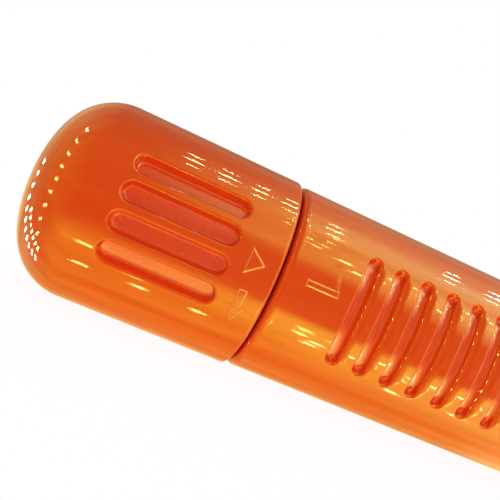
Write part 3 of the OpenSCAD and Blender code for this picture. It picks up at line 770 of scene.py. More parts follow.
class Finishes(PropertyGroup):
    """Colours of the finishes"""

    orange: rgb("Orange plastic", "The glossy moulded shells", (0.85, 0.062, 0.006))
    orange_gloss: FloatProperty(
        name="Shell roughness", description="Roughness of the shells", default=0.06, min=0, max=1
    )
    shell_sheen: rgb("Shell sheen", "Tint of the shells' dim reflections", (1.0, 0.9, 0.17))
    button: rgb("Button rubber", "The power button", (0.02, 0.02, 0.021))
    seals: rgb("Seal rubber", "The seals and rings", (0.025, 0.025, 0.025))
    foam: rgb("Foam", "The battery pad and the tip's cushion", (0.07, 0.07, 0.075))
    board: rgb("Board lacquer", "The circuit board", (0.015, 0.12, 0.05))
    copper: rgb("Copper", "The windings of the search coil", (0.72, 0.3, 0.12))


class StageSettings(PropertyGroup):
    """The camera as fitted to the photograph, and the light"""

    lens: FloatProperty(
        name="Lens", description="Focal length on a 36 mm sensor", default=32.81, min=1
    )
    camera_place: FloatVectorProperty(
        name="Camera place",
        description="Where the camera stands",
        default=(-0.087982, -0.09435, 0.018847),
        subtype="TRANSLATION",
        precision=5,
    )
    camera_aim: FloatVectorProperty(
        name="Camera aim",
        description="The point at the middle of the picture",
        default=(-0.0752015, 0.0, 0.023298),
        subtype="TRANSLATION",
        precision=5,
    )
    camera_roll: degrees("Camera roll", "Tilt of the camera about its own line of sight", 23.4986)
    floor: rgb("Floor", "The pale floor", (0.95, 0.95, 0.95))
    daylight: FloatProperty(
        name="Surrounding light", description="Strength of the light all round", default=0.4, min=0
    )


# ---- Modelling by hand ----

SAME_PLACE = 1e-6  # metres within which two places count as one
NEAR_MIDDLE = 0.2 * MM  # within which the face in the middle is found


def clear_selection():
    """Leaves nothing selected, in object mode."""
    if bpy.context.object and bpy.context.object.mode != "OBJECT":
        bpy.ops.object.mode_set(mode="OBJECT")
    bpy.ops.object.select_all(action="DESELECT")


def select_only(obj):
    """Leaves this object selected and active, in object mode."""
    clear_selection()
    obj.select_set(True)
    bpy.context.view_layer.objects.active = obj


def start_piece(add, **settings):
    """Adds a primitive and leaves it in edit mode with nothing selected."""
    clear_selection()
    add(**settings)
    bpy.ops.object.transform_apply(location=True, rotation=True, scale=True)
    bpy.ops.object.mode_set(mode="EDIT")
    bpy.ops.mesh.select_all(action="DESELECT")
    return bpy.context.object


def drop_picks(obj):
    """Leaves nothing selected, in object mode, where selections are written."""
    bpy.ops.object.mode_set(mode="OBJECT")
    for part in (obj.data.vertices, obj.data.edges, obj.data.polygons):
        part.foreach_set("select", [False] * len(part))


def pick_points(obj, test):
    """Selects the vertices whose place passes the test, in edit mode."""
    drop_picks(obj)
    for vertex in obj.data.vertices:
        vertex.select = bool(test(vertex.co))
    bpy.context.tool_settings.mesh_select_mode = (True, False, False)
    bpy.ops.object.mode_set(mode="EDIT")


def pick_edges(obj, test):
    """Selects the edges whose two ends pass the test, in edit mode."""
    drop_picks(obj)
    points = [v.co for v in obj.data.vertices]
    for edge in obj.data.edges:
        edge.select = bool(test(*(points[i] for i in edge.vertices)))
    bpy.context.tool_settings.mesh_select_mode = (False, True, False)
    bpy.ops.object.mode_set(mode="EDIT")


def pick_faces(obj, test):
    """Selects the faces whose middle and normal pass the test, in edit mode."""
    drop_picks(obj)
    for face in obj.data.polygons:
        face.select = bool(test(face.center, face.normal))
    bpy.context.tool_settings.mesh_select_mode = (False, False, True)
    bpy.ops.object.mode_set(mode="EDIT")


def extrude_up(height):
    """Pushes the selected faces along Z, in metres."""
    bpy.ops.mesh.extrude_region_move(TRANSFORM_OT_translate={"value": (0, 0, height)})


def bevel(width, segments):
    """Rounds the selected edges; the width is in metres."""
    bpy.ops.mesh.bevel(offset=width, segments=segments, profile=0.5, affect="EDGES")


def smooth(obj, angle):
    """Shades a finished piece smooth, apart from edges sharper than an angle in degrees."""
    select_only(obj)
    bpy.ops.object.shade_smooth_by_angle(angle=math.radians(angle))


def cut_away(obj, cutter):
    """Takes the cutter's shape out of the object and removes the cutter."""
    change = obj.modifiers.new("Cut", "BOOLEAN")
    change.object, change.operation, change.solver = cutter, "DIFFERENCE", "EXACT"
    select_only(obj)
    bpy.ops.object.modifier_apply(modifier=change.name)
    bpy.data.objects.remove(cutter)


# ---- The outer pieces ----

ROUND_STEP = 3.0  # degrees between the grid lines where a skin is plain
SHELL_SLOT = "orange_plastic"
WINDOW_FRONT_EDGE, WINDOW_REAR_EDGE = 0.4 * MM, 0.2 * MM
SLOT_MARGIN = 6.5  # degrees of fine grid past the middle of the outermost slots
CAP_BEAD = (-1.3, 0.22)  # place and width of the beads, mm past the rim
HANDLE_BEAD = (1.9, 0.25)

# The handle's fine forms, in mm where no other unit is named
GROOVE_LEAN = 0.8  # that the grooves lie further towards the tip, for each 90 degrees up
BOW_START = 0.15  # that a groove's middle lies back towards the cap
BOW_FADE = (3, 30)  # degrees past the grooves' ends to where the bow fades, and that it takes
GROOVE_FOOT, RUN_OUT_FOOT = 0.4, 1.2  # rounding at the feet of a groove's two walls
BAR_RISE = (0.2, 0.45)  # height of the bar and width of its sloping edges
STROKE_RISE = (0.07, 0.4)
STROKE_HALF = 0.2  # half of the stroke's width
STROKE_SETBACK, STROKE_LEAN = 0.15, 0.19
DIP_ROOM = 0.6  # that the dip is wider than the button
DIP_FORM = (0.5, 30, 0.5, 0.05)  # depth, draft in degrees, lip and foot
NO_DIP = -9.0  # a distance well outside the dip
CUT_FROM, CUT_PAST = 10, 2.35  # the button's cutter: from the axis, and past the skin

# The probe shell's fine forms, in mm
HOOD_SUNK = 2  # length of the hood's rear that stays inside the shoulder
HOOD_EDGE = 0.35  # softness of the hood's ends
RIB_EDGE, RIB_RUN_OUT = 0.35, 2.4  # width of the rib's sloping sides and length of its ends

# Corners of the cap's marks, anticlockwise: mm towards the tip and mm up from a mark's place
TRIANGLE_CORNERS = [(2.0, -0.3), (-0.8, 1.8), (-0.8, -2.4)]
ARROW_HEAD_CORNERS = [(0, -3.4), (1.45, -0.6), (-1.45, -0.6)]
ARROW_SHAFT_CORNERS = [(-0.65, -1.05), (0.65, -1.05), (0.65, 2.5), (-0.65, 2.5)]


def round_either_side(angle, middle):
    """Degrees from a middle angle, or from the one across the probe where that is nearer."""
    near = turn_between(angle, middle)
    return np.where(np.abs(near) > 90, turn_between(angle, middle + 180), near)


def nearest_of(count, place):
    """The index of the nearest of a row of features that lie at 0, 1 and so on."""
    return np.clip(np.round(place), 0, count - 1)


def cap_side(sizes, outer, slot_middle):
    """Gives the formula for the radius of the cap's side, with its slots and marks."""
    rest, pitch = math.degrees(sizes.rest_angle), math.degrees(sizes.slot_pitch)
    half_group = (sizes.slot_count - 1) / 2
    length, width = sizes.slot_length / MM, sizes.slot_width / MM
    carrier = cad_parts["battery_cap"]
    triangle_x, triangle_turn, _ = rolled_out(surface_place("triangle", carrier))
    arrow_x, arrow_turn, _ = rolled_out(surface_place("arrow", carrier))

    def radius(x, angle):
        """Radius at a place along the probe and an angle round it."""
        either = round_either_side(angle, rest)
        index = nearest_of(sizes.slot_count, either / pitch + half_group)
        across = outer * np.radians(either - (index - half_group) * pitch)
        depth = moulded_depth(
            inside_long_round(x - slot_middle, across, length, width),
            sizes.slot_depth / MM,
            math.degrees(sizes.slot_draft),
            sizes.slot_lip / MM,
            sizes.slot_foot / MM,
        )
        up = outer * np.radians(turn_between(angle, triangle_turn))
        triangle = inside_polygon(x - triangle_x, up, TRIANGLE_CORNERS)
        up = outer * np.radians(turn_between(angle, arrow_turn))
        head = inside_polygon(x - arrow_x, up, ARROW_HEAD_CORNERS)
        shaft = inside_polygon(x - arrow_x, up, ARROW_SHAFT_CORNERS)
        marked = np.maximum(triangle, np.maximum(head, shaft))
        mark = soft_rise(marked, sizes.mark_height / MM, sizes.mark_slope / MM)
        return outer - depth + bead(x, *CAP_BEAD) + mark

    return radius


class PROBE_OT_battery_cap(Operator):
    """Makes the battery cap with its domed end, grip slots, triangle and arrow"""

    bl_idname = "probe.battery_cap"
    bl_label = "Battery cap"

    def execute(self, context):
        sizes = context.scene.cap_sizes
        outer = CAP_RADIUS / MM
        end_x = (CAP_LOW.x - CAP_HIGH.x) / MM
        slot_front = -sizes.slot_setback / MM
        slot_rear = slot_front - sizes.slot_length / MM
        skin = cap_side(sizes, outer, (slot_front + slot_rear) / 2)
        # Round the probe the grid is fine at the two groups of slots, more so on the seen side
        rest = math.degrees(sizes.rest_angle)
        half_turn = math.degrees(sizes.slot_pitch) * (sizes.slot_count - 1) / 2 + SLOT_MARGIN
        angles = spread(
            [
                (rest - half_turn - 2, rest + half_turn + 1, 0.3),
                (rest + 180 - half_turn, rest + 180 + half_turn, 0.344),
                (rest + half_turn + 1, rest + 180 - half_turn, ROUND_STEP),
                (rest + 180 + half_turn, rest + 358 - half_turn, ROUND_STEP),
            ]
        )
        body = Skin(angles[:-1])
        crown = sizes.crown_radius / MM
        rounding = sizes.end_rounding / MM
        flat = outer - rounding
        middle = end_x + crown
        meet = math.degrees(math.asin(flat / (crown - rounding)))
        fillet_x = middle - math.sqrt((crown - rounding) ** 2 - flat**2)
        body.plain(round_rows(middle, 0, crown, 180, 180 - meet, 8)[1:-1])
        body.plain(round_rows(fillet_x, flat, rounding, 180 - meet, 90, 20)[:-1])
        # Along the probe the grid is fine at the slots' round ends and at the marks
        bend = sizes.slot_width / MM / 2 + 0.5
        for x in spread(
            [
                (fillet_x, slot_rear - 0.6, 1.5),
                (slot_rear - 0.6, slot_rear + bend, 0.12),
                (slot_rear + bend, slot_front - bend, 3.3),
                (slot_front - bend, slot_front + 0.6, 0.12),
                (slot_front + 0.6, -2.4, 0.1),
            ]
        ):
            body.formed(x, skin)
        rim = sizes.rim_rounding / MM
        body.plain(round_rows(-rim, outer - rim, rim, 90, 0, 8))
        skirt, bore = sizes.skirt_radius / MM, sizes.bore_radius / MM
        seat_x, floor_x = -sizes.skirt_depth / MM, -sizes.bore_depth / MM
        inner = sizes.bore_rounding / MM
        body.plain(
            outline_rows(
                [
                    (0, outer - rim, 0),
                    (0, skirt, 0.25),
                    (seat_x, skirt, 0.3),
                    (seat_x, bore, 0.2),
                    (floor_x + inner, bore, 0),
                ]
            )[1:-1]
        )
        body.hollow_round(floor_x + inner, bore - inner, inner, 90, 180, 6)
        obj = body.build("BatteryCap", first=end_x, last=floor_x)
        new_mesh_piece(obj, "BatteryCap", SHELL_SLOT, "cap", "battery_cap")
        return {"FINISHED"}


def groove_bow(sizes):
    """Gives the formula for how far the grooves lie towards the tip at an angle."""
    reach = math.degrees(sizes.groove_reach)
    past_end, fade = BOW_FADE

    def bow(angle):
        """How far, in mm, fading out past the grooves' ends."""
        turn = np.abs(round_either_side(angle, 0))
        bowed = sizes.groove_bow / MM * (np.minimum(turn, reach + past_end) / reach) ** 2
        bowed = bowed - BOW_START + GROOVE_LEAN * np.sin(np.radians(angle))
        return bowed * (1 - eased((turn - reach - past_end) / fade))

    return bow


def button_pad(flange_width):
    """Middle, length and width of the button's pad, in mm."""
    low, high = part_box("power_button")
    flange = 2 * flange_width
    middle = ((low.x + high.x) / 2 - RIM_X) / MM
    return middle, (high.x - low.x - flange) / MM, (high.y - low.y - flange) / MM


def handle_side(sizes, outer, bow, pad):
    """Gives the formula for the radius of the handle's side, with its grooves, bar and dip."""
    start, pitch = sizes.groove_start / MM, sizes.groove_pitch / MM
    half_length = outer * sizes.groove_reach
    width, depth = sizes.groove_width / MM, sizes.groove_depth / MM
    steep_wall = (math.degrees(sizes.groove_draft), sizes.groove_lip / MM, GROOVE_FOOT)
    gentle_wall = (math.degrees(sizes.run_out_draft), sizes.run_out_lip / MM, RUN_OUT_FOOT)
    bar_x, bar_turn, _ = rolled_out(surface_place("bar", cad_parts["handle_shell"]))
    half_long, half_wide = sizes.bar_length / MM / 2, sizes.bar_width / MM / 2
    stroke_top = sizes.stroke_length / MM - half_wide
    stroke_x = bar_x + half_long - STROKE_SETBACK
    button_x, button_long, button_wide = pad

    def grooves(x, angle):
        """Depth of the grooves, steep towards the cap and run out gently towards the tip."""
        place = x - start - bow(angle)
        past_middle = place - nearest_of(sizes.groove_count, place / pitch) * pitch
        along = outer * np.radians(round_either_side(angle, 0))
        inside = inside_long_round(along, past_middle, 2 * half_length, width)
        steep = moulded_depth(inside, depth, *steep_wall)
        gentle = moulded_depth(inside + sizes.run_out / MM, depth, *gentle_wall)
        to_end = half_length - width / 2 - np.abs(along)
        share = soft_rise(past_middle, 1, 0.6) * soft_rise(to_end - 0.6, 1, 2.0)
        return steep - (steep - gentle) * share

    def marks(x, angle):
        """Height of the bar and of the fine leaning stroke up from its end."""
        up = outer * np.radians(turn_between(angle, bar_turn))
        bar = np.minimum(half_long - np.abs(x - bar_x), half_wide - np.abs(up))
        leant = x - stroke_x + STROKE_LEAN * up
        stroke = np.minimum(STROKE_HALF - np.abs(leant), np.minimum(up + half_wide, stroke_top - up))
        return soft_rise(bar, *BAR_RISE) + soft_rise(stroke, *STROKE_RISE)

    def radius(x, angle):
        """Radius at a place along the probe and an angle round it."""
        turn = turn_between(angle, 90)
        aside = outer * np.sin(np.radians(turn))
        dip = inside_long_round(x - button_x, aside, button_long + DIP_ROOM, button_wide + DIP_ROOM)
        dip = moulded_depth(np.where(np.abs(turn) < 90, dip, NO_DIP), *DIP_FORM)
        return outer - grooves(x, angle) + marks(x, angle) + bead(x, *HANDLE_BEAD) - dip

    return radius


class PROBE_OT_handle(Operator):
    """Makes the handle with its neck, grip grooves, moulded bar and button hole"""

    bl_idname = "probe.handle"
    bl_label = "Handle"

    def execute(self, context):
        sizes = context.scene.handle_sizes
        outer = HANDLE_RADIUS / MM
        neck_x, front_x = (HANDLE_LOW.x - RIM_X) / MM, (HANDLE_HIGH.x - RIM_X) / MM
        shoulder_x = sizes.seam_gap / MM
        start, pitch = sizes.groove_start / MM, sizes.groove_pitch / MM
        last = start + pitch * (sizes.groove_count - 1)
        reach = math.degrees(sizes.groove_reach)
        bow = groove_bow(sizes)
        pad = button_pad(context.scene.button_sizes.flange_width)
        skin = handle_side(sizes, outer, bow, pad)
        # Round the probe the grid is fine at the grooves' ends, at the bar and at the dip
        angles = spread(
            [
                (-reach - 2.5, -23.5, 0.4),
                (-23.5, -0.5, 2.5),
                (-0.5, 8, 0.3),
                (8, 23.5, 2.5),
                (23.5, reach + 2.5, 0.4),
                (reach + 2.5, 67, ROUND_STEP),
                (67, 113, 1.2),
                (113, 177.5 - reach, ROUND_STEP),
                (177.5 - reach, 156.5, 0.5),
                (156.5, 203.5, 2.5),
                (203.5, 182.5 + reach, 0.5),
                (182.5 + reach, 357.5 - reach, ROUND_STEP),
            ]
        )
        body = Skin(angles[:-1])
        neck, bore = sizes.neck_radius / MM, sizes.neck_bore / MM
        bay, bay_x = sizes.bay_radius / MM, sizes.bay_setback / MM
        body.plain(
            outline_rows(
                [
                    (neck_x + 1.4, neck, 0),
                    (shoulder_x, neck, 0.15),
                    (shoulder_x, outer, sizes.shoulder_rounding / MM),
                    (shoulder_x + 1.7, outer, 0),
                ],
                8,
            )
        )
        # Along the probe the grid is fine at the bead, the bar's two ends and the grooves' walls
        lines = [
            (shoulder_x + 1.8, 3.0, 0.1),
            (3.0, 4.4, 0.5),
            (4.4, 5.6, 0.1),
            (5.6, 10.3, 1.0),
            (10.3, 11.5, 0.1),
        ]
        for i in range(sizes.groove_count):
            c = start + i * pitch
            lines += [(c - 1.9, c - 0.6, 0.13), (c - 0.6, c + 0.6, 0.4), (c + 0.6, c + 2.8, 0.22)]
        lines += [(last + 2.8, 73.5, 0.8), (73.5, front_x - 0.5, 2.5)]
        # The rows bend with the grooves, and are straight again past the first and the last
        for x in spread(lines):
            fade = np.clip((x - 11.6) / 1.6, 0, 1) * np.clip((last + 6 - x) / 4, 0, 1)
            body.formed(x + bow(body.angles) * fade, skin)
        body.plain(
            outline_rows(
                [
                    (front_x - 0.4, outer, 0),
                    (front_x, outer, 0.3),
                    (front_x, bay, 0.25),
                    (bay_x, bay, 0.2),
                    (bay_x, bore, 0.2),
                    (neck_x, bore, 0.3),
                    (neck_x, neck, 0.3),
                    (neck_x + 1.2, neck, 0),
                ]
            )
        )
        obj = body.build("Handle")
        room = 2 * sizes.button_room / MM
        middle, long, wide = pad
        cut_away(
            obj,
            stadium("Cutter", middle, long + room, wide + room, CUT_FROM, outer + CUT_PAST),
        )
        new_mesh_piece(obj, "Handle", SHELL_SLOT, "handle", "handle_shell")
        return {"FINISHED"}


def pull_apart(obj, middle_x, by, test=lambda place: True):
    """Moves the two halves of a shape apart along X, or together."""
    for side in (1, -1):
        pick_points(obj, lambda place: (place.x - middle_x) * side > SAME_PLACE and test(place))
        bpy.ops.transform.translate(value=(side * by, 0, 0))


def stadium(name, x, length, width, low, high):
    """A block with round ends that stands across the probe. All in mm, heights from the axis."""
    middle = probe_place(x, 90, (low + high) / 2)
    obj = start_piece(
        bpy.ops.mesh.primitive_cylinder_add,
        vertices=64,
        radius=width / 2 * MM,
        depth=(high - low) * MM,
        location=middle,
    )
    pull_apart(obj, middle.x, (length - width) / 2 * MM)
    obj.name = name
    return obj


def shoulder_curve(sizes, handle_x):
    """Gives the formula for the shoulder's radius, a half wave from the handle to the barrel."""
    taper = sizes.taper_length / MM
    wide, slim = sizes.handle_radius / MM, sizes.barrel_radius / MM

    def radius(x):
        """Radius at a place along the probe."""
        t = np.clip((x - handle_x) / taper, 0, 1)
        return slim + (wide - slim) * (1 + np.cos(np.pi * t)) / 2

    return radius


def probe_side(sizes, shoulder, nose_x, hood_ends, rib_ends):
    """Gives the formula for the radius of the shell's side, with its hood above and rib below."""
    barrel_r, nose_r = sizes.barrel_radius / MM, sizes.nose_radius / MM
    lift, hood_r = sizes.hood_lift / MM, sizes.hood_radius / MM
    hood_x, hood_end = hood_ends
    rib_x, rib_end = rib_ends
    rib_half = sizes.rib_width / MM / 2

    def radius(x, angle):
        """Radius at a place along the probe and an angle round it."""
        r = shoulder(x) - (barrel_r - nose_r) * eased((x - nose_x) / (sizes.nose_step / MM))
        aside = np.radians(turn_between(angle, 90))
        reach = hood_r**2 - (lift * np.sin(aside)) ** 2
        hood = lift * np.cos(aside) + np.sqrt(np.clip(reach, 0, None))
        hood = np.where((reach > 0) & (np.abs(aside) < 1), hood, 0)
        to_end = np.minimum(x - hood_x - HOOD_SUNK, hood_end - HOOD_EDGE - x)
        r = r + np.clip(hood - r, 0, None) * eased(to_end / HOOD_EDGE + 1)
        across = nose_r * np.radians(turn_between(angle, 270))
        rib = soft_rise(rib_half - np.abs(across), sizes.rib_height / MM, RIB_EDGE)
        return r + rib * eased(np.minimum(x - rib_x, rib_end - x) / RIB_RUN_OUT)

    return radius


def probe_inside(body, sizes, shoulder, inside_x, nose_x, barrel_x):
    """Adds the shell's inside, from the tip back over nose, barrel and shoulder to the spigot."""
    handle_r, barrel_r = sizes.handle_radius / MM, sizes.barrel_radius / MM
    wall, nose_step = sizes.wall / MM, sizes.nose_step / MM
    bore_r, barrel_bore = sizes.nose_bore / MM, barrel_r - wall
    inner = sizes.tip_rounding / MM - sizes.tip_wall / MM
    body.hollow_round(inside_x - inner, bore_r - inner, inner, 0, 90, 6)
    body.plain(
        outline_rows(
            [
                (nose_x + nose_step + 0.2, bore_r, 0),
                (nose_x + nose_step, bore_r, 0.1),
                (nose_x, barrel_bore, 0.1),
                (barrel_x, barrel_bore, 0),
            ]
        )[1:]
    )
    # The shoulder's inside ends where it meets the spigot's bore, to a tenth of a mm
    spigot_bore = sizes.spigot_bore / MM
    wave = 2 * (spigot_bore - barrel_bore) / (handle_r - barrel_r) - 1
    wide_x = barrel_x - round(sizes.taper_length / MM * (1 - math.acos(wave) / math.pi), 1)
    steps = 14
    for i in range(1, steps + 1):
        x = barrel_x + (wide_x - barrel_x) * i / steps
        slope = (shoulder(x + 0.01) - shoulder(x - 0.01)) / 0.02
        body.plain([(x, shoulder(x) - wall, slope, -1.0)])
    return wide_x


class PROBE_OT_probe_shell(Operator):
    """Makes the probe's shell with its hood for the lamp and its scraping rib"""

    bl_idname = "probe.probe_shell"
    bl_label = "Probe shell"

    def execute(self, context):
        sizes = context.scene.probe_sizes
        low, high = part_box("probe_shell")
        spigot_x, tip_x = ((v.x - RIM_X) / MM for v in (low, high))
        handle_x = (HANDLE_HIGH.x - RIM_X) / MM
        barrel_x = handle_x + sizes.taper_length / MM
        nose_x = barrel_x + sizes.barrel_length / MM
        nose_step = sizes.nose_step / MM
        hood_x = handle_x + sizes.hood_start / MM
        hood_end = hood_x + sizes.hood_length / MM
        rib_x = nose_x + sizes.rib_setback / MM
        rib_end = rib_x + sizes.rib_length / MM
        shoulder = shoulder_curve(sizes, handle_x)
        skin = probe_side(sizes, shoulder, nose_x, (hood_x, hood_end), (rib_x, rib_end))
        # Round the probe the grid is fine at the hood and at the rib
        angles = spread(
            [
                (70, 110, 0.5),
                (110, 262, ROUND_STEP),
                (262, 278, 0.4),
                (278, 430, ROUND_STEP),
            ]
        )
        body = Skin(angles[:-1])
        inside_x = tip_x - sizes.tip_wall / MM
        wide_x = probe_inside(body, sizes, shoulder, inside_x, nose_x, barrel_x)
        handle_r, spigot_bore = sizes.handle_radius / MM, sizes.spigot_bore / MM
        spigot_r = sizes.spigot_radius / MM
        body.plain(
            outline_rows(
                [
                    (wide_x - 1, spigot_bore, 0),
                    (spigot_x, spigot_bore, 0.3),
                    (spigot_x, spigot_r, 0.4),
                    (handle_x, spigot_r, 0.1),
                    (handle_x, handle_r, 0.3),
                    (handle_x + 0.4, handle_r, 0),
                ]
            )
        )
        # The outside, back to the tip
        for x in spread(
            [
                (handle_x + 0.5, hood_x + 1, 0.8),
                (hood_x + 1, hood_end - 0.8, 0.9),
                (hood_end - 0.8, hood_end + 0.2, 0.05),
                (hood_end + 0.2, barrel_x, 0.8),
                (barrel_x, nose_x, 6.0),
                (nose_x, nose_x + nose_step, 0.25),
                (rib_x - 0.5, rib_x + 3, 0.25),
                (rib_x + 3, rib_end - 3, 3.0),
                (rib_end - 3, rib_end + 0.4, 0.25),
            ]
        ):
            body.formed(x, skin)
        nose_r, tip_r = sizes.nose_radius / MM, sizes.tip_rounding / MM
        body.plain(round_rows(tip_x - tip_r, nose_r - tip_r, tip_r, 90, 0, 16))
        obj = body.build("ProbeShell", first=inside_x, last=tip_x)
        past_hood = 2.5  # mm that the lamp hole's cutter stands out of the hood
        depth = sizes.lamp_hole_depth / MM
        hole = start_piece(
            bpy.ops.mesh.primitive_cylinder_add,
            vertices=64,
            radius=sizes.lamp_hole,
            depth=(depth + past_hood) * MM,
            location=probe_place(hood_end + (past_hood - depth) / 2, 90, sizes.hood_lift / MM),
            rotation=(0, math.pi / 2, 0),
        )
        cut_away(obj, hole)
        new_mesh_piece(obj, "ProbeShell", SHELL_SLOT, "handle", "probe_shell")
        return {"FINISHED"}


class PROBE_OT_power_button(Operator):
    """Makes the rubber power button with its dished top, flange and stem"""

    bl_idname = "probe.power_button"
    bl_label = "Power button"

    def execute(self, context):
        sizes = context.scene.button_sizes
        low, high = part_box("power_button")
        middle_x = (low.x + high.x) / 2
        wide, long = high.y - low.y, high.x - low.x
        top, stem_low = high.z, low.z
        flange_low = stem_low + sizes.stem_length
        flange_high = flange_low + sizes.flange_thickness
        obj = stadium(
            "PowerButton",
            (middle_x - RIM_X) / MM,
            long / MM,
            wide / MM,
            (flange_low - AXIS_Z) / MM,
            (flange_high - AXIS_Z) / MM,
        )
        # The pad rises from the flange, with a rounded edge and rings that carry the dish
        pick_faces(obj, lambda middle, normal: normal.z > 0.99)
        bpy.ops.mesh.inset(thickness=sizes.flange_width)
        extrude_up(top - flange_high)
        pick_edges(obj, lambda a, b: min(a.z, b.z) > top - SAME_PLACE)
        bevel(sizes.edge_rounding, 8)
        for _ in range(sizes.dish_rings):
            pick_faces(
                obj,
                lambda middle, normal: middle.z > top - SAME_PLACE
                and math.hypot(middle.x - middle_x, middle.y) < NEAR_MIDDLE,
            )
            bpy.ops.mesh.inset(thickness=sizes.ring_width)
        # The stem: the flange's underside drawn in to a circle and pushed down to the switch
        pick_faces(obj, lambda middle, normal: normal.z < -0.99)
        bpy.ops.mesh.inset(thickness=wide / 2 - sizes.stem_radius)
        reach = (long - wide) / 2 + sizes.stem_radius
        pull_apart(
            obj,
            middle_x,
            (wide - long) / 2,
            lambda place: place.z < flange_low + SAME_PLACE
            and abs(place.y) < sizes.stem_radius + SAME_PLACE
            and abs(place.x - middle_x) < reach + SAME_PLACE,
        )
        pick_faces(
            obj,
            lambda middle, normal: normal.z < -0.99
            and math.hypot(middle.x - middle_x, middle.y) < NEAR_MIDDLE,
        )
        extrude_up(stem_low - flange_low)
        bpy.ops.object.mode_set(mode="OBJECT")
        # The top follows the handle's roundness and dips in the middle
        edge = top - sizes.edge_rounding - SAME_PLACE
        crown = top - AXIS_Z
        for vertex in obj.data.vertices:
            x, y, z = vertex.co
            if z > edge:
                past = max(0.0, abs(x - middle_x) - (long - wide) / 2)
                share = max(0.0, 1 - (math.hypot(past, y) / sizes.dish_radius) ** 2)
                vertex.co.z -= crown - math.sqrt(crown**2 - y**2) + sizes.dish_depth * share**2
        smooth(obj, 40)
        new_mesh_piece(obj, "PowerButton", "button_rubber", "button", "power_button")
        return {"FINISHED"}


class PROBE_OT_lamp_window(Operator):
    """Makes the clear window in front of the lamp"""

    bl_idname = "probe.lamp_window"
    bl_label = "Lamp window"

    def execute(self, context):
        low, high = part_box("lamp_window")
        obj = start_piece(
            bpy.ops.mesh.primitive_cylinder_add,
            vertices=64,
            radius=(high.y - low.y) / 2,
            depth=high.x - low.x,
            location=(low + high) / 2,
            rotation=(0, math.pi / 2, 0),
        )
        pick_edges(obj, lambda a, b: min(a.x, b.x) > high.x - SAME_PLACE)
        bevel(WINDOW_FRONT_EDGE, 4)
        pick_edges(obj, lambda a, b: max(a.x, b.x) < low.x + SAME_PLACE)
        bevel(WINDOW_REAR_EDGE, 2)
        bpy.ops.object.mode_set(mode="OBJECT")
        smooth(obj, 30)
        new_mesh_piece(obj, "LampWindow", "clear_window", "handle", "lamp_window")
        return {"FINISHED"}


# ---- Finishes, floor, light and camera ----


class PROBE_OT_finishes(Operator):
    """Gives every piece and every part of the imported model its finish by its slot"""

    bl_idname = "probe.finishes"
    bl_label = "Finishes"

    def execute(self, context):
        c = context.scene.finish_colours
        dark = (0.02, 0.02, 0.022)
        finishes = {
            SHELL_SLOT: shell_plastic(
                "OrangeShell",
                c.orange,
                c.orange_gloss,
                Specular_Tint=(*c.shell_sheen, 1),
                Coat_Roughness=0.15,
            ),
            "button_rubber": rubber("ButtonRubber", c.button, 0.55),
            "black_rubber": rubber("SealRubber", c.seals, 0.6),
            "foam": rubber("Foam", c.foam, 0.9, 2500.0),
            "battery_jacket": metal("BatteryJacket", (0.1, 0.11, 0.13), 0.35, (1, 8, 8)),
            "plated_metal": metal("PlatedMetal", (0.62, 0.62, 0.6), 0.25),
            "steel": metal("Steel", (0.45, 0.45, 0.46), 0.3, (1, 12, 12)),
            "fibre_plate": moulded_plastic("FibrePlate", (0.08, 0.045, 0.03), 0.7, 0.2),
            "lead_jacket": moulded_plastic("LeadJacket", (0.45, 0.03, 0.02), 0.4),
            "black_plastic": moulded_plastic("BlackPlastic", dark, 0.45, 0.15),
            "grey_plastic": moulded_plastic("GreyPlastic", (0.35, 0.35, 0.33), 0.5),
            "board": board_laminate("BoardLaminate", c.board),
            "capacitor_jacket": moulded_plastic("CapacitorJacket", (0.03, 0.045, 0.14), 0.3),
            "lamp_resin": clear_resin("LampResin", (0.95, 0.95, 0.9), 0.15, 0.6),
            "clear_window": clear_resin("ClearWindow", (0.95, 0.98, 1.0), 0.03, 1.0),
            "ferrite": metal("Ferrite", (0.08, 0.08, 0.085), 0.6, (1, 6, 6)),
            "copper_winding": wound_wire("CopperWinding", c.copper),
        }
        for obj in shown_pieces():
            name = obj.get("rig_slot")
            if name:
                obj.data.materials.clear()
                obj.data.materials.append(finishes[name])
        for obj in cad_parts.values():
            for slot in obj.material_slots:
                slot.material = finishes[slot.material.name.split(".")[0]]
        return {"FINISHED"}


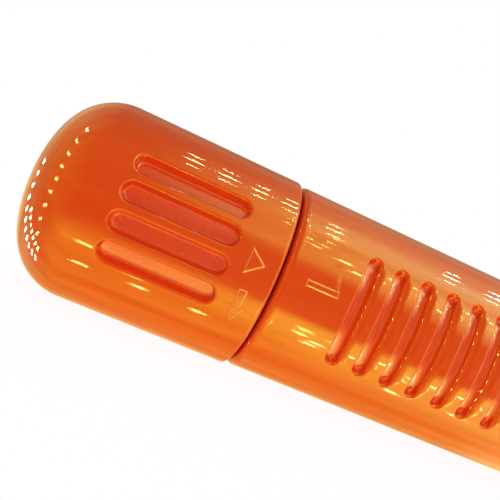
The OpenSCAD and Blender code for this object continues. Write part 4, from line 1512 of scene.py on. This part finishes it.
class PROBE_OT_stage(Operator):
    """Sets the floor, the light and the camera as in the photograph"""

    bl_idname = "probe.stage"
    bl_label = "Stage and camera"

    def execute(self, context):
        settings = context.scene.stage_settings
        clear_selection()
        bpy.ops.mesh.primitive_plane_add(size=FLOOR_SIZE, location=(0, 0, FLOOR_Z))
        floor = context.object
        floor.name = "Floor"
        floor.data.materials.append(pale_floor(settings.floor))
        floor.visible_shadow = floor.visible_glossy = False
        floor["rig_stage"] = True
        set_world(settings.daylight)
        for name, power, size, angle, aside, tint in LAMPS:
            lamp = bpy.data.lights.new(name, "AREA")
            lamp.energy, lamp.shape, lamp.color = power, "RECTANGLE", tint
            lamp.size, lamp.size_y = size
            obj = bpy.data.objects.new(name, lamp)
            context.scene.collection.objects.link(obj)
            a, b = math.radians(angle), math.radians(aside)
            way = Vector((math.sin(b), -math.cos(a) * math.cos(b), math.sin(a) * math.cos(b)))
            obj.location = Vector((RIM_X, 0, AXIS_Z)) + way * LAMP_REACH
            obj.rotation_mode = "QUATERNION"
            obj.rotation_quaternion = (-way).to_track_quat("-Z", "Y")
            obj.visible_glossy = False
        bright_strips()
        camera = bpy.data.cameras.new("Camera")
        camera.lens, camera.sensor_width, camera.sensor_fit = settings.lens, SENSOR_WIDTH, "AUTO"
        camera.clip_start, camera.clip_end = CLIP_REACH
        obj = bpy.data.objects.new("Camera", camera)
        context.scene.collection.objects.link(obj)
        line = (Vector(settings.camera_aim) - Vector(settings.camera_place)).normalized()
        right = line.cross(Vector((0, 0, 1))).normalized()
        turned = Matrix((right, right.cross(line), -line)).transposed()
        turned = turned @ Matrix.Rotation(settings.camera_roll, 3, "Z")
        obj.matrix_world = Matrix.Translation(settings.camera_place) @ turned.to_4x4()
        context.scene.camera = obj
        context.scene.view_settings.view_transform = "Standard"
        return {"FINISHED"}


# Name, power in watts, size, turn about the probe from -Y up and turn towards the tip, both in
# degrees, and colour
LAMPS = (
    ("Front light", 2.5, (0.9, 0.5), -12, 8, (1.0, 0.97, 0.9)),
    ("Lower light", 0.5, (0.9, 0.4), -85, 5, (1.0, 0.9, 0.7)),
    ("Upper light", 0.25, (0.9, 0.4), 60, 25, (1.0, 0.97, 0.92)),
)
LAMP_REACH = 0.6  # metres from the probe's axis to the lamps
SENSOR_WIDTH = 36.0  # mm
CLIP_REACH = (0.004, 20.0)  # metres from the camera in which things show
FLOOR_SIZE, FLOOR_Z = 8, -0.0002
FLOOR_WHITE = 0.85  # share of plain white in what the floor shows

# Where the streaks of light in the gloss come from: metres along X and degrees up from -Y
UPPER_STREAKS = (
    (-0.123, 87),
    (-0.070, 87),
    (-0.016, 87),
    (0.032, 87),
    (0.107, 82),
    (0.31, 92),
    (0.39, 92),
)
LOWER_STREAKS = (
    (-0.213, -47),
    (-0.209, -71),
    (-0.133, -60),
    (-0.123, -70),
    (-0.033, -70),
    (0.125, -41),
    (0.137, -55),
    (0.288, -72),
    (0.405, -69),
)
FLECKS = 12  # in each of the rows along the handle
DOT = 0.01  # metres from a dot's middle to its edge
STREAK_LIGHT = (1.0, 0.95, 0.85, 1)


class GlowingSheet:
    """Small bare lamps, which show as streaks and dots in the glossy skin and light nothing."""

    def __init__(self):
        self.corners, self.faces = [], []

    def rectangle(self, middle, aside, upwards):
        """Adds a flat rectangle; the last two reach from its middle to its edges."""
        first = len(self.corners)
        for s, t in ((-1, -1), (1, -1), (1, 1), (-1, 1)):
            self.corners.append(middle + aside * s + upwards * t)
        self.faces.append(tuple(range(first, first + 4)))

    def strips(self, angle, along, wide, high, count=1, step=0.0):
        """Adds strips on a drum round the probe. angle is up from -Y, lengths are in metres."""
        for i in range(count):
            a = math.radians(angle) + (i - (count - 1) / 2) * step / LAMP_REACH
            outwards = Vector((0, -math.cos(a), math.sin(a)))
            upwards = Vector((0, math.sin(a), math.cos(a)))
            middle = Vector((along, 0, AXIS_Z)) + outwards * LAMP_REACH
            self.rectangle(middle, Vector((1, 0, 0)) * wide / 2, upwards * high / 2)

    def dots(self, azimuth, elevation, apart):
        """Adds a pair of square dots round the cap's end, from a turn about Z and a height."""
        a, e = math.radians(azimuth), math.radians(elevation)
        way = Vector((math.cos(e) * math.sin(a), -math.cos(e) * math.cos(a), math.sin(e)))
        aside = Vector((way.y, -way.x, 0)).normalized()
        middle = Vector((CAP_LOW.x, 0, AXIS_Z)) + way * LAMP_REACH
        for side in (-1, 1):
            self.rectangle(middle + aside * apart * side, aside * DOT, aside.cross(way) * DOT)

    def build(self, name, strength):
        """Makes the sheet, which only glossy rays see."""
        mesh = bpy.data.meshes.new(name)
        mesh.from_pydata(self.corners, [], self.faces)
        obj = bpy.data.objects.new(name, mesh)
        bpy.context.scene.collection.objects.link(obj)
        finish = Finish(name)
        finish.show(finish.node("ShaderNodeEmission", Color=STREAK_LIGHT, Strength=strength))
        finish.material.cycles.emission_sampling = "NONE"
        mesh.materials.append(finish.material)
        obj.visible_camera = obj.visible_diffuse = False
        obj.visible_shadow = obj.visible_transmission = False
        obj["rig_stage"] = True


def bright_strips():
    """The streaks, flecks and dots of light in the shells' gloss."""
    tubes = GlowingSheet()
    for along, angle in UPPER_STREAKS:
        tubes.strips(angle, along, 0.03, 0.0055)
        tubes.strips(angle, along, 0.022, 0.004, 2, 0.17)
    tubes.build("TubeLamps", 120.0)
    small = GlowingSheet()
    for along, angle in LOWER_STREAKS:
        small.strips(angle, along, 0.025, 0.006, 2, 0.016)
    # On the lands near the grooves' ends, and in front of the first groove
    for i in range(FLECKS):
        small.strips(48 + 7 * math.sin(5 * i), 0.14 + 0.028 * i, 0.02, 0.012)
        small.strips(-47 + 5 * math.sin(4 * i), 0.12 + 0.028 * i, 0.02, 0.016)
        small.strips(62 + 11 * math.sin(7 * i), 0.035 + 0.008 * i, 0.012, 0.004)
    # Three rows of dots down the cap's rounded end
    for i in range(11):
        small.dots(-112, 7 - 5.9 * i, 0.017)
    for i in range(10):
        height = 46 - 10.9 * i
        small.dots(-62 - 0.011 * height * height, height, 0.02)
    for i in range(7):
        small.dots(-98 + i, -20 - 5.3 * i, 0.012)
    small.build("BrightStrips", 70.0)


def pale_floor(shade):
    """A floor that shows white but keeps the object's shadow."""
    finish = Finish("PaleFloor", Roughness=0.9)
    grain = finish.noise(40.0)
    finish.feed(Base_Color=finish.blend(grain, toned(shade, 0.98), toned(shade, 1.02)))
    paths = finish.outputs("ShaderNodeLightPath")
    seen = paths["Is Camera Ray"]
    for other in ("Is Glossy Ray", "Is Transmission Ray"):
        seen = seen.larger(paths[other])
    white = finish.node("ShaderNodeEmission", Color=(1, 1, 1, 1), Strength=1.1)
    dull = finish.flow(finish.shader.outputs[0])
    mixed = {0: seen * FLOOR_WHITE, 1: dull, 2: white}
    finish.show(finish.node("ShaderNodeMixShader", by_index=mixed))
    return finish.material


# What a glossy skin sees of the surroundings, all warm: angle up from -Y and red, green and blue.
# One list is for the side away from the tip, one for the side towards it.
GLOW_AWAY = (
    (-180, 0.7, 0.55, 0.25),
    (-140, 1.0, 0.8, 0.22),
    (-100, 1.8, 1.5, 0.25),
    (-68, 3.4, 3.3, 0.8),
    (-48, 3.2, 3.1, 1.1),
    (-16, 0.6, 0.45, 0.6),
    (30, 0.5, 0.4, 0.5),
    (50, 0.8, 0.63, 0.6),
    (100, 0.7, 0.55, 0.35),
    (135, 0.5, 0.37, 0.22),
    (180, 0.5, 0.4, 0.25),
)
GLOW_TOWARDS = (
    (-180, 0.7, 0.55, 0.25),
    (-140, 1.0, 0.8, 0.2),
    (-100, 1.8, 1.5, 0.25),
    (-74, 3.5, 3.8, 1.0),
    (-38, 6.0, 7.2, 3.2),
    (-26, 0.8, 0.68, 0.7),
    (20, 0.6, 0.5, 0.7),
    (42, 3.5, 5.3, 4.4),
    (78, 3.4, 4.8, 3.4),
    (104, 1.7, 1.4, 0.8),
    (128, 0.8, 0.6, 0.35),
    (150, 0.5, 0.38, 0.22),
    (180, 0.5, 0.4, 0.25),
)
GLOW_AT_END = (1.3, 1.1, 0.5)
GLOW_AT_TIP = (3.2, 3.2, 1.3)
GLOW_TOP = 8.0  # over every level above, which keeps the nodes' colours below 1


def glow_tint(level):
    """A level of the surroundings as a colour that a node can hold."""
    return (*[share / GLOW_TOP for share in level], 1)


def set_world(strength):
    """Light all round. The camera sees it white, and a glossy skin sees it warm, and bright below."""
    world = bpy.data.worlds.new("Surroundings")
    bpy.context.scene.world = world
    world.use_nodes = True
    nodes = Nodes(world.node_tree)
    background = world.node_tree.nodes["Background"]
    paths = nodes.outputs("ShaderNodeLightPath")
    way = nodes.node("ShaderNodeTexCoord", output="Generated")
    x, y, z = nodes.outputs("ShaderNodeSeparateXYZ", Vector=way).values()
    turn = z.turn_from(y * -1) * (0.5 / math.pi) + 0.5
    away, towards = (
        nodes.node(
            "ShaderNodeValToRGB",
            {"stops": [((angle + 180) / 360, glow_tint(level)) for angle, *level in glow]},
            Fac=turn,
        )
        for glow in (GLOW_AWAY, GLOW_TOWARDS)
    )
    # Each side has its own glow, and the two ends another
    around = nodes.blend((x * 2 + 0.3).clamped(), away, towards)
    around = nodes.blend((x * -2.2 - 0.6).clamped(), around, glow_tint(GLOW_AT_END))
    around = nodes.blend((x * 4 - 2.4).clamped(), around, glow_tint(GLOW_AT_TIP))
    place = nodes.node("ShaderNodeCombineXYZ", X=x * 1.6, Y=turn * 18)
    streaks = nodes.node("ShaderNodeTexNoise", Vector=place, Scale=1.0, Detail=2.0)
    uneven = streaks * 1.6 + 0.2
    seen = paths["Is Camera Ray"].larger(paths["Is Transmission Ray"])
    mirrored = paths["Is Glossy Ray"] * (1 - seen)
    level = seen + mirrored * uneven * GLOW_TOP + (1 - seen) * (1 - mirrored) * strength
    nodes.give(background.inputs["Color"], nodes.blend(mirrored, (1, 1, 1, 1), around))
    nodes.give(background.inputs["Strength"], level)


# ---- Panel and classes ----


class PROBE_PT_panel(Panel):
    """Lists the pieces of the probe in the order in which they are made"""

    bl_idname = "PROBE_PT_panel"
    bl_label = "Metal-finding probe"
    bl_space_type = "VIEW_3D"
    bl_region_type = "UI"
    bl_category = "Probe"

    def draw(self, context):
        for name in GROUPS:
            group = getattr(context.scene, name)
            box = self.layout.box()
            for key in group.__annotations__:
                box.prop(group, key)
        for operator in OPERATORS:
            self.layout.operator(operator.bl_idname)


GROUPS = {
    "cap_sizes": CapSizes,
    "handle_sizes": HandleSizes,
    "probe_sizes": ProbeSizes,
    "button_sizes": ButtonSizes,
    "finish_colours": Finishes,
    "stage_settings": StageSettings,
}
OPERATORS = (
    PROBE_OT_stage,
    PROBE_OT_battery_cap,
    PROBE_OT_handle,
    PROBE_OT_probe_shell,
    PROBE_OT_power_button,
    PROBE_OT_lamp_window,
    PROBE_OT_finishes,
)


def register():
    """Adds the classes to Blender, and the settings to its scenes."""
    for item in (*GROUPS.values(), *OPERATORS, PROBE_PT_panel):
        bpy.utils.register_class(item)
    for name, group in GROUPS.items():
        setattr(bpy.types.Scene, name, PointerProperty(type=group))


def unregister():
    """Takes the settings and the classes away again."""
    for name in GROUPS:
        delattr(bpy.types.Scene, name)
    for item in reversed((*GROUPS.values(), *OPERATORS, PROBE_PT_panel)):
        bpy.utils.unregister_class(item)


# ---- How well the image points are met ----


def in_slot(middle):
    """Tests for the cap's vertices in the slot at an angle, clear of the domed end and the marks."""
    return lambda x, turn, r: (x > -32) & (x < -6) & (abs(turn - middle) < 7) & (r < 19.8)


def in_groove(index):
    """Tests for the handle's vertices in a groove, counted from the cap."""

    def inside(x, turn, r):
        """Tells which vertices lie within the groove's width and below the skin."""
        sizes = bpy.context.scene.handle_sizes
        middle = (sizes.groove_start + sizes.groove_pitch * index) / MM
        return (abs(x - middle) < 2) & (r < 19.5)

    return inside


# Which finished vertices stand for an image point, by mm past the rim, angle and mm off the axis,
# and the way in the picture in which the last of them that shows is taken. With no way it is the
# middle of them all, and with "near" the one nearest the point.
DOWN_AXIS, UP_AXIS = (0.92, 0.4), (-0.92, -0.4)
SHOWN_BY = {
    "object left": ("BatteryCap", lambda x, turn, r: x < -20, (-1, 0)),
    "object top": ("BatteryCap", lambda x, turn, r: x < -20, (0, -1)),
    "rim top": ("BatteryCap", lambda x, turn, r: (x > -1) & (r > 19), (1, -1)),
    "rim side": ("BatteryCap", lambda x, turn, r: (x > -0.6) & (r > 19.5), "near"),
    "rim bottom": ("BatteryCap", lambda x, turn, r: (x > -1) & (r > 19), (0.3, 1)),
    "triangle": ("BatteryCap", lambda x, turn, r: (x > -7) & (r > 20.1) & (turn > -8), None),
    "arrow": ("BatteryCap", lambda x, turn, r: (x > -7) & (r > 20.1) & (turn < -10), None),
    "bar": ("Handle", lambda x, turn, r: (x < 12) & (r > 19.75), None),
    "first slot rear": ("BatteryCap", in_slot(25), UP_AXIS),
    "first slot front": ("BatteryCap", in_slot(25), DOWN_AXIS),
    "last slot rear": ("BatteryCap", in_slot(-21), UP_AXIS),
    "last slot front": ("BatteryCap", in_slot(-21), DOWN_AXIS),
    "first groove top": ("Handle", in_groove(0), (0, -1)),
    "first groove bottom": ("Handle", in_groove(0), (0, 1)),
    "fifth groove top": ("Handle", in_groove(4), (0, -1)),
    "seventh groove bottom": ("Handle", in_groove(6), (0, 1)),
}


def write_points():
    """Works out how far each thing shows from its image point, by its vertices that aren't hidden, but
    keeps and shows nothing of it.
    """
    eye = bpy.context.scene.camera.matrix_world.translation
    trees = [tree_of(bpy.data.objects[name]) for name in ("BatteryCap", "Handle")]
    for name, (piece, test, way) in SHOWN_BY.items():
        places = [v.co for v in bpy.data.objects[piece].data.vertices]
        x, turn, r = np.array([rolled_out(p) for p in places]).T
        shown = []
        for index in np.nonzero(test(x, turn, r) & (np.abs(turn) < 110))[0]:
            line = places[index] - eye
            reach = line.length - 0.1 * MM
            if not any(tree.ray_cast(eye, line.normalized(), reach)[0] for tree in trees):
                shown.append(image_place(places[index]))
        goal = IMAGE_POINTS[name]
        if not shown:
            continue
        if way is None:
            (left, top), (right, bottom) = np.min(shown, 0), np.max(shown, 0)
            at = ((left + right) / 2, (top + bottom) / 2)
        elif way == "near":
            at = min(shown, key=lambda p: math.dist(p, goal))
        else:
            at = max(shown, key=lambda p: p[0] * way[0] + p[1] * way[1])
        [None if g is None else round(a - g, 2) for a, g in zip(at, goal)]


def main():
    """Makes every piece and the stage."""
    register()
    for operator in OPERATORS:
        group, name = operator.bl_idname.split(".")
        getattr(getattr(bpy.ops, group), name)()
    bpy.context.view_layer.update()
    write_points()


if __name__ == "__main__":
    main()
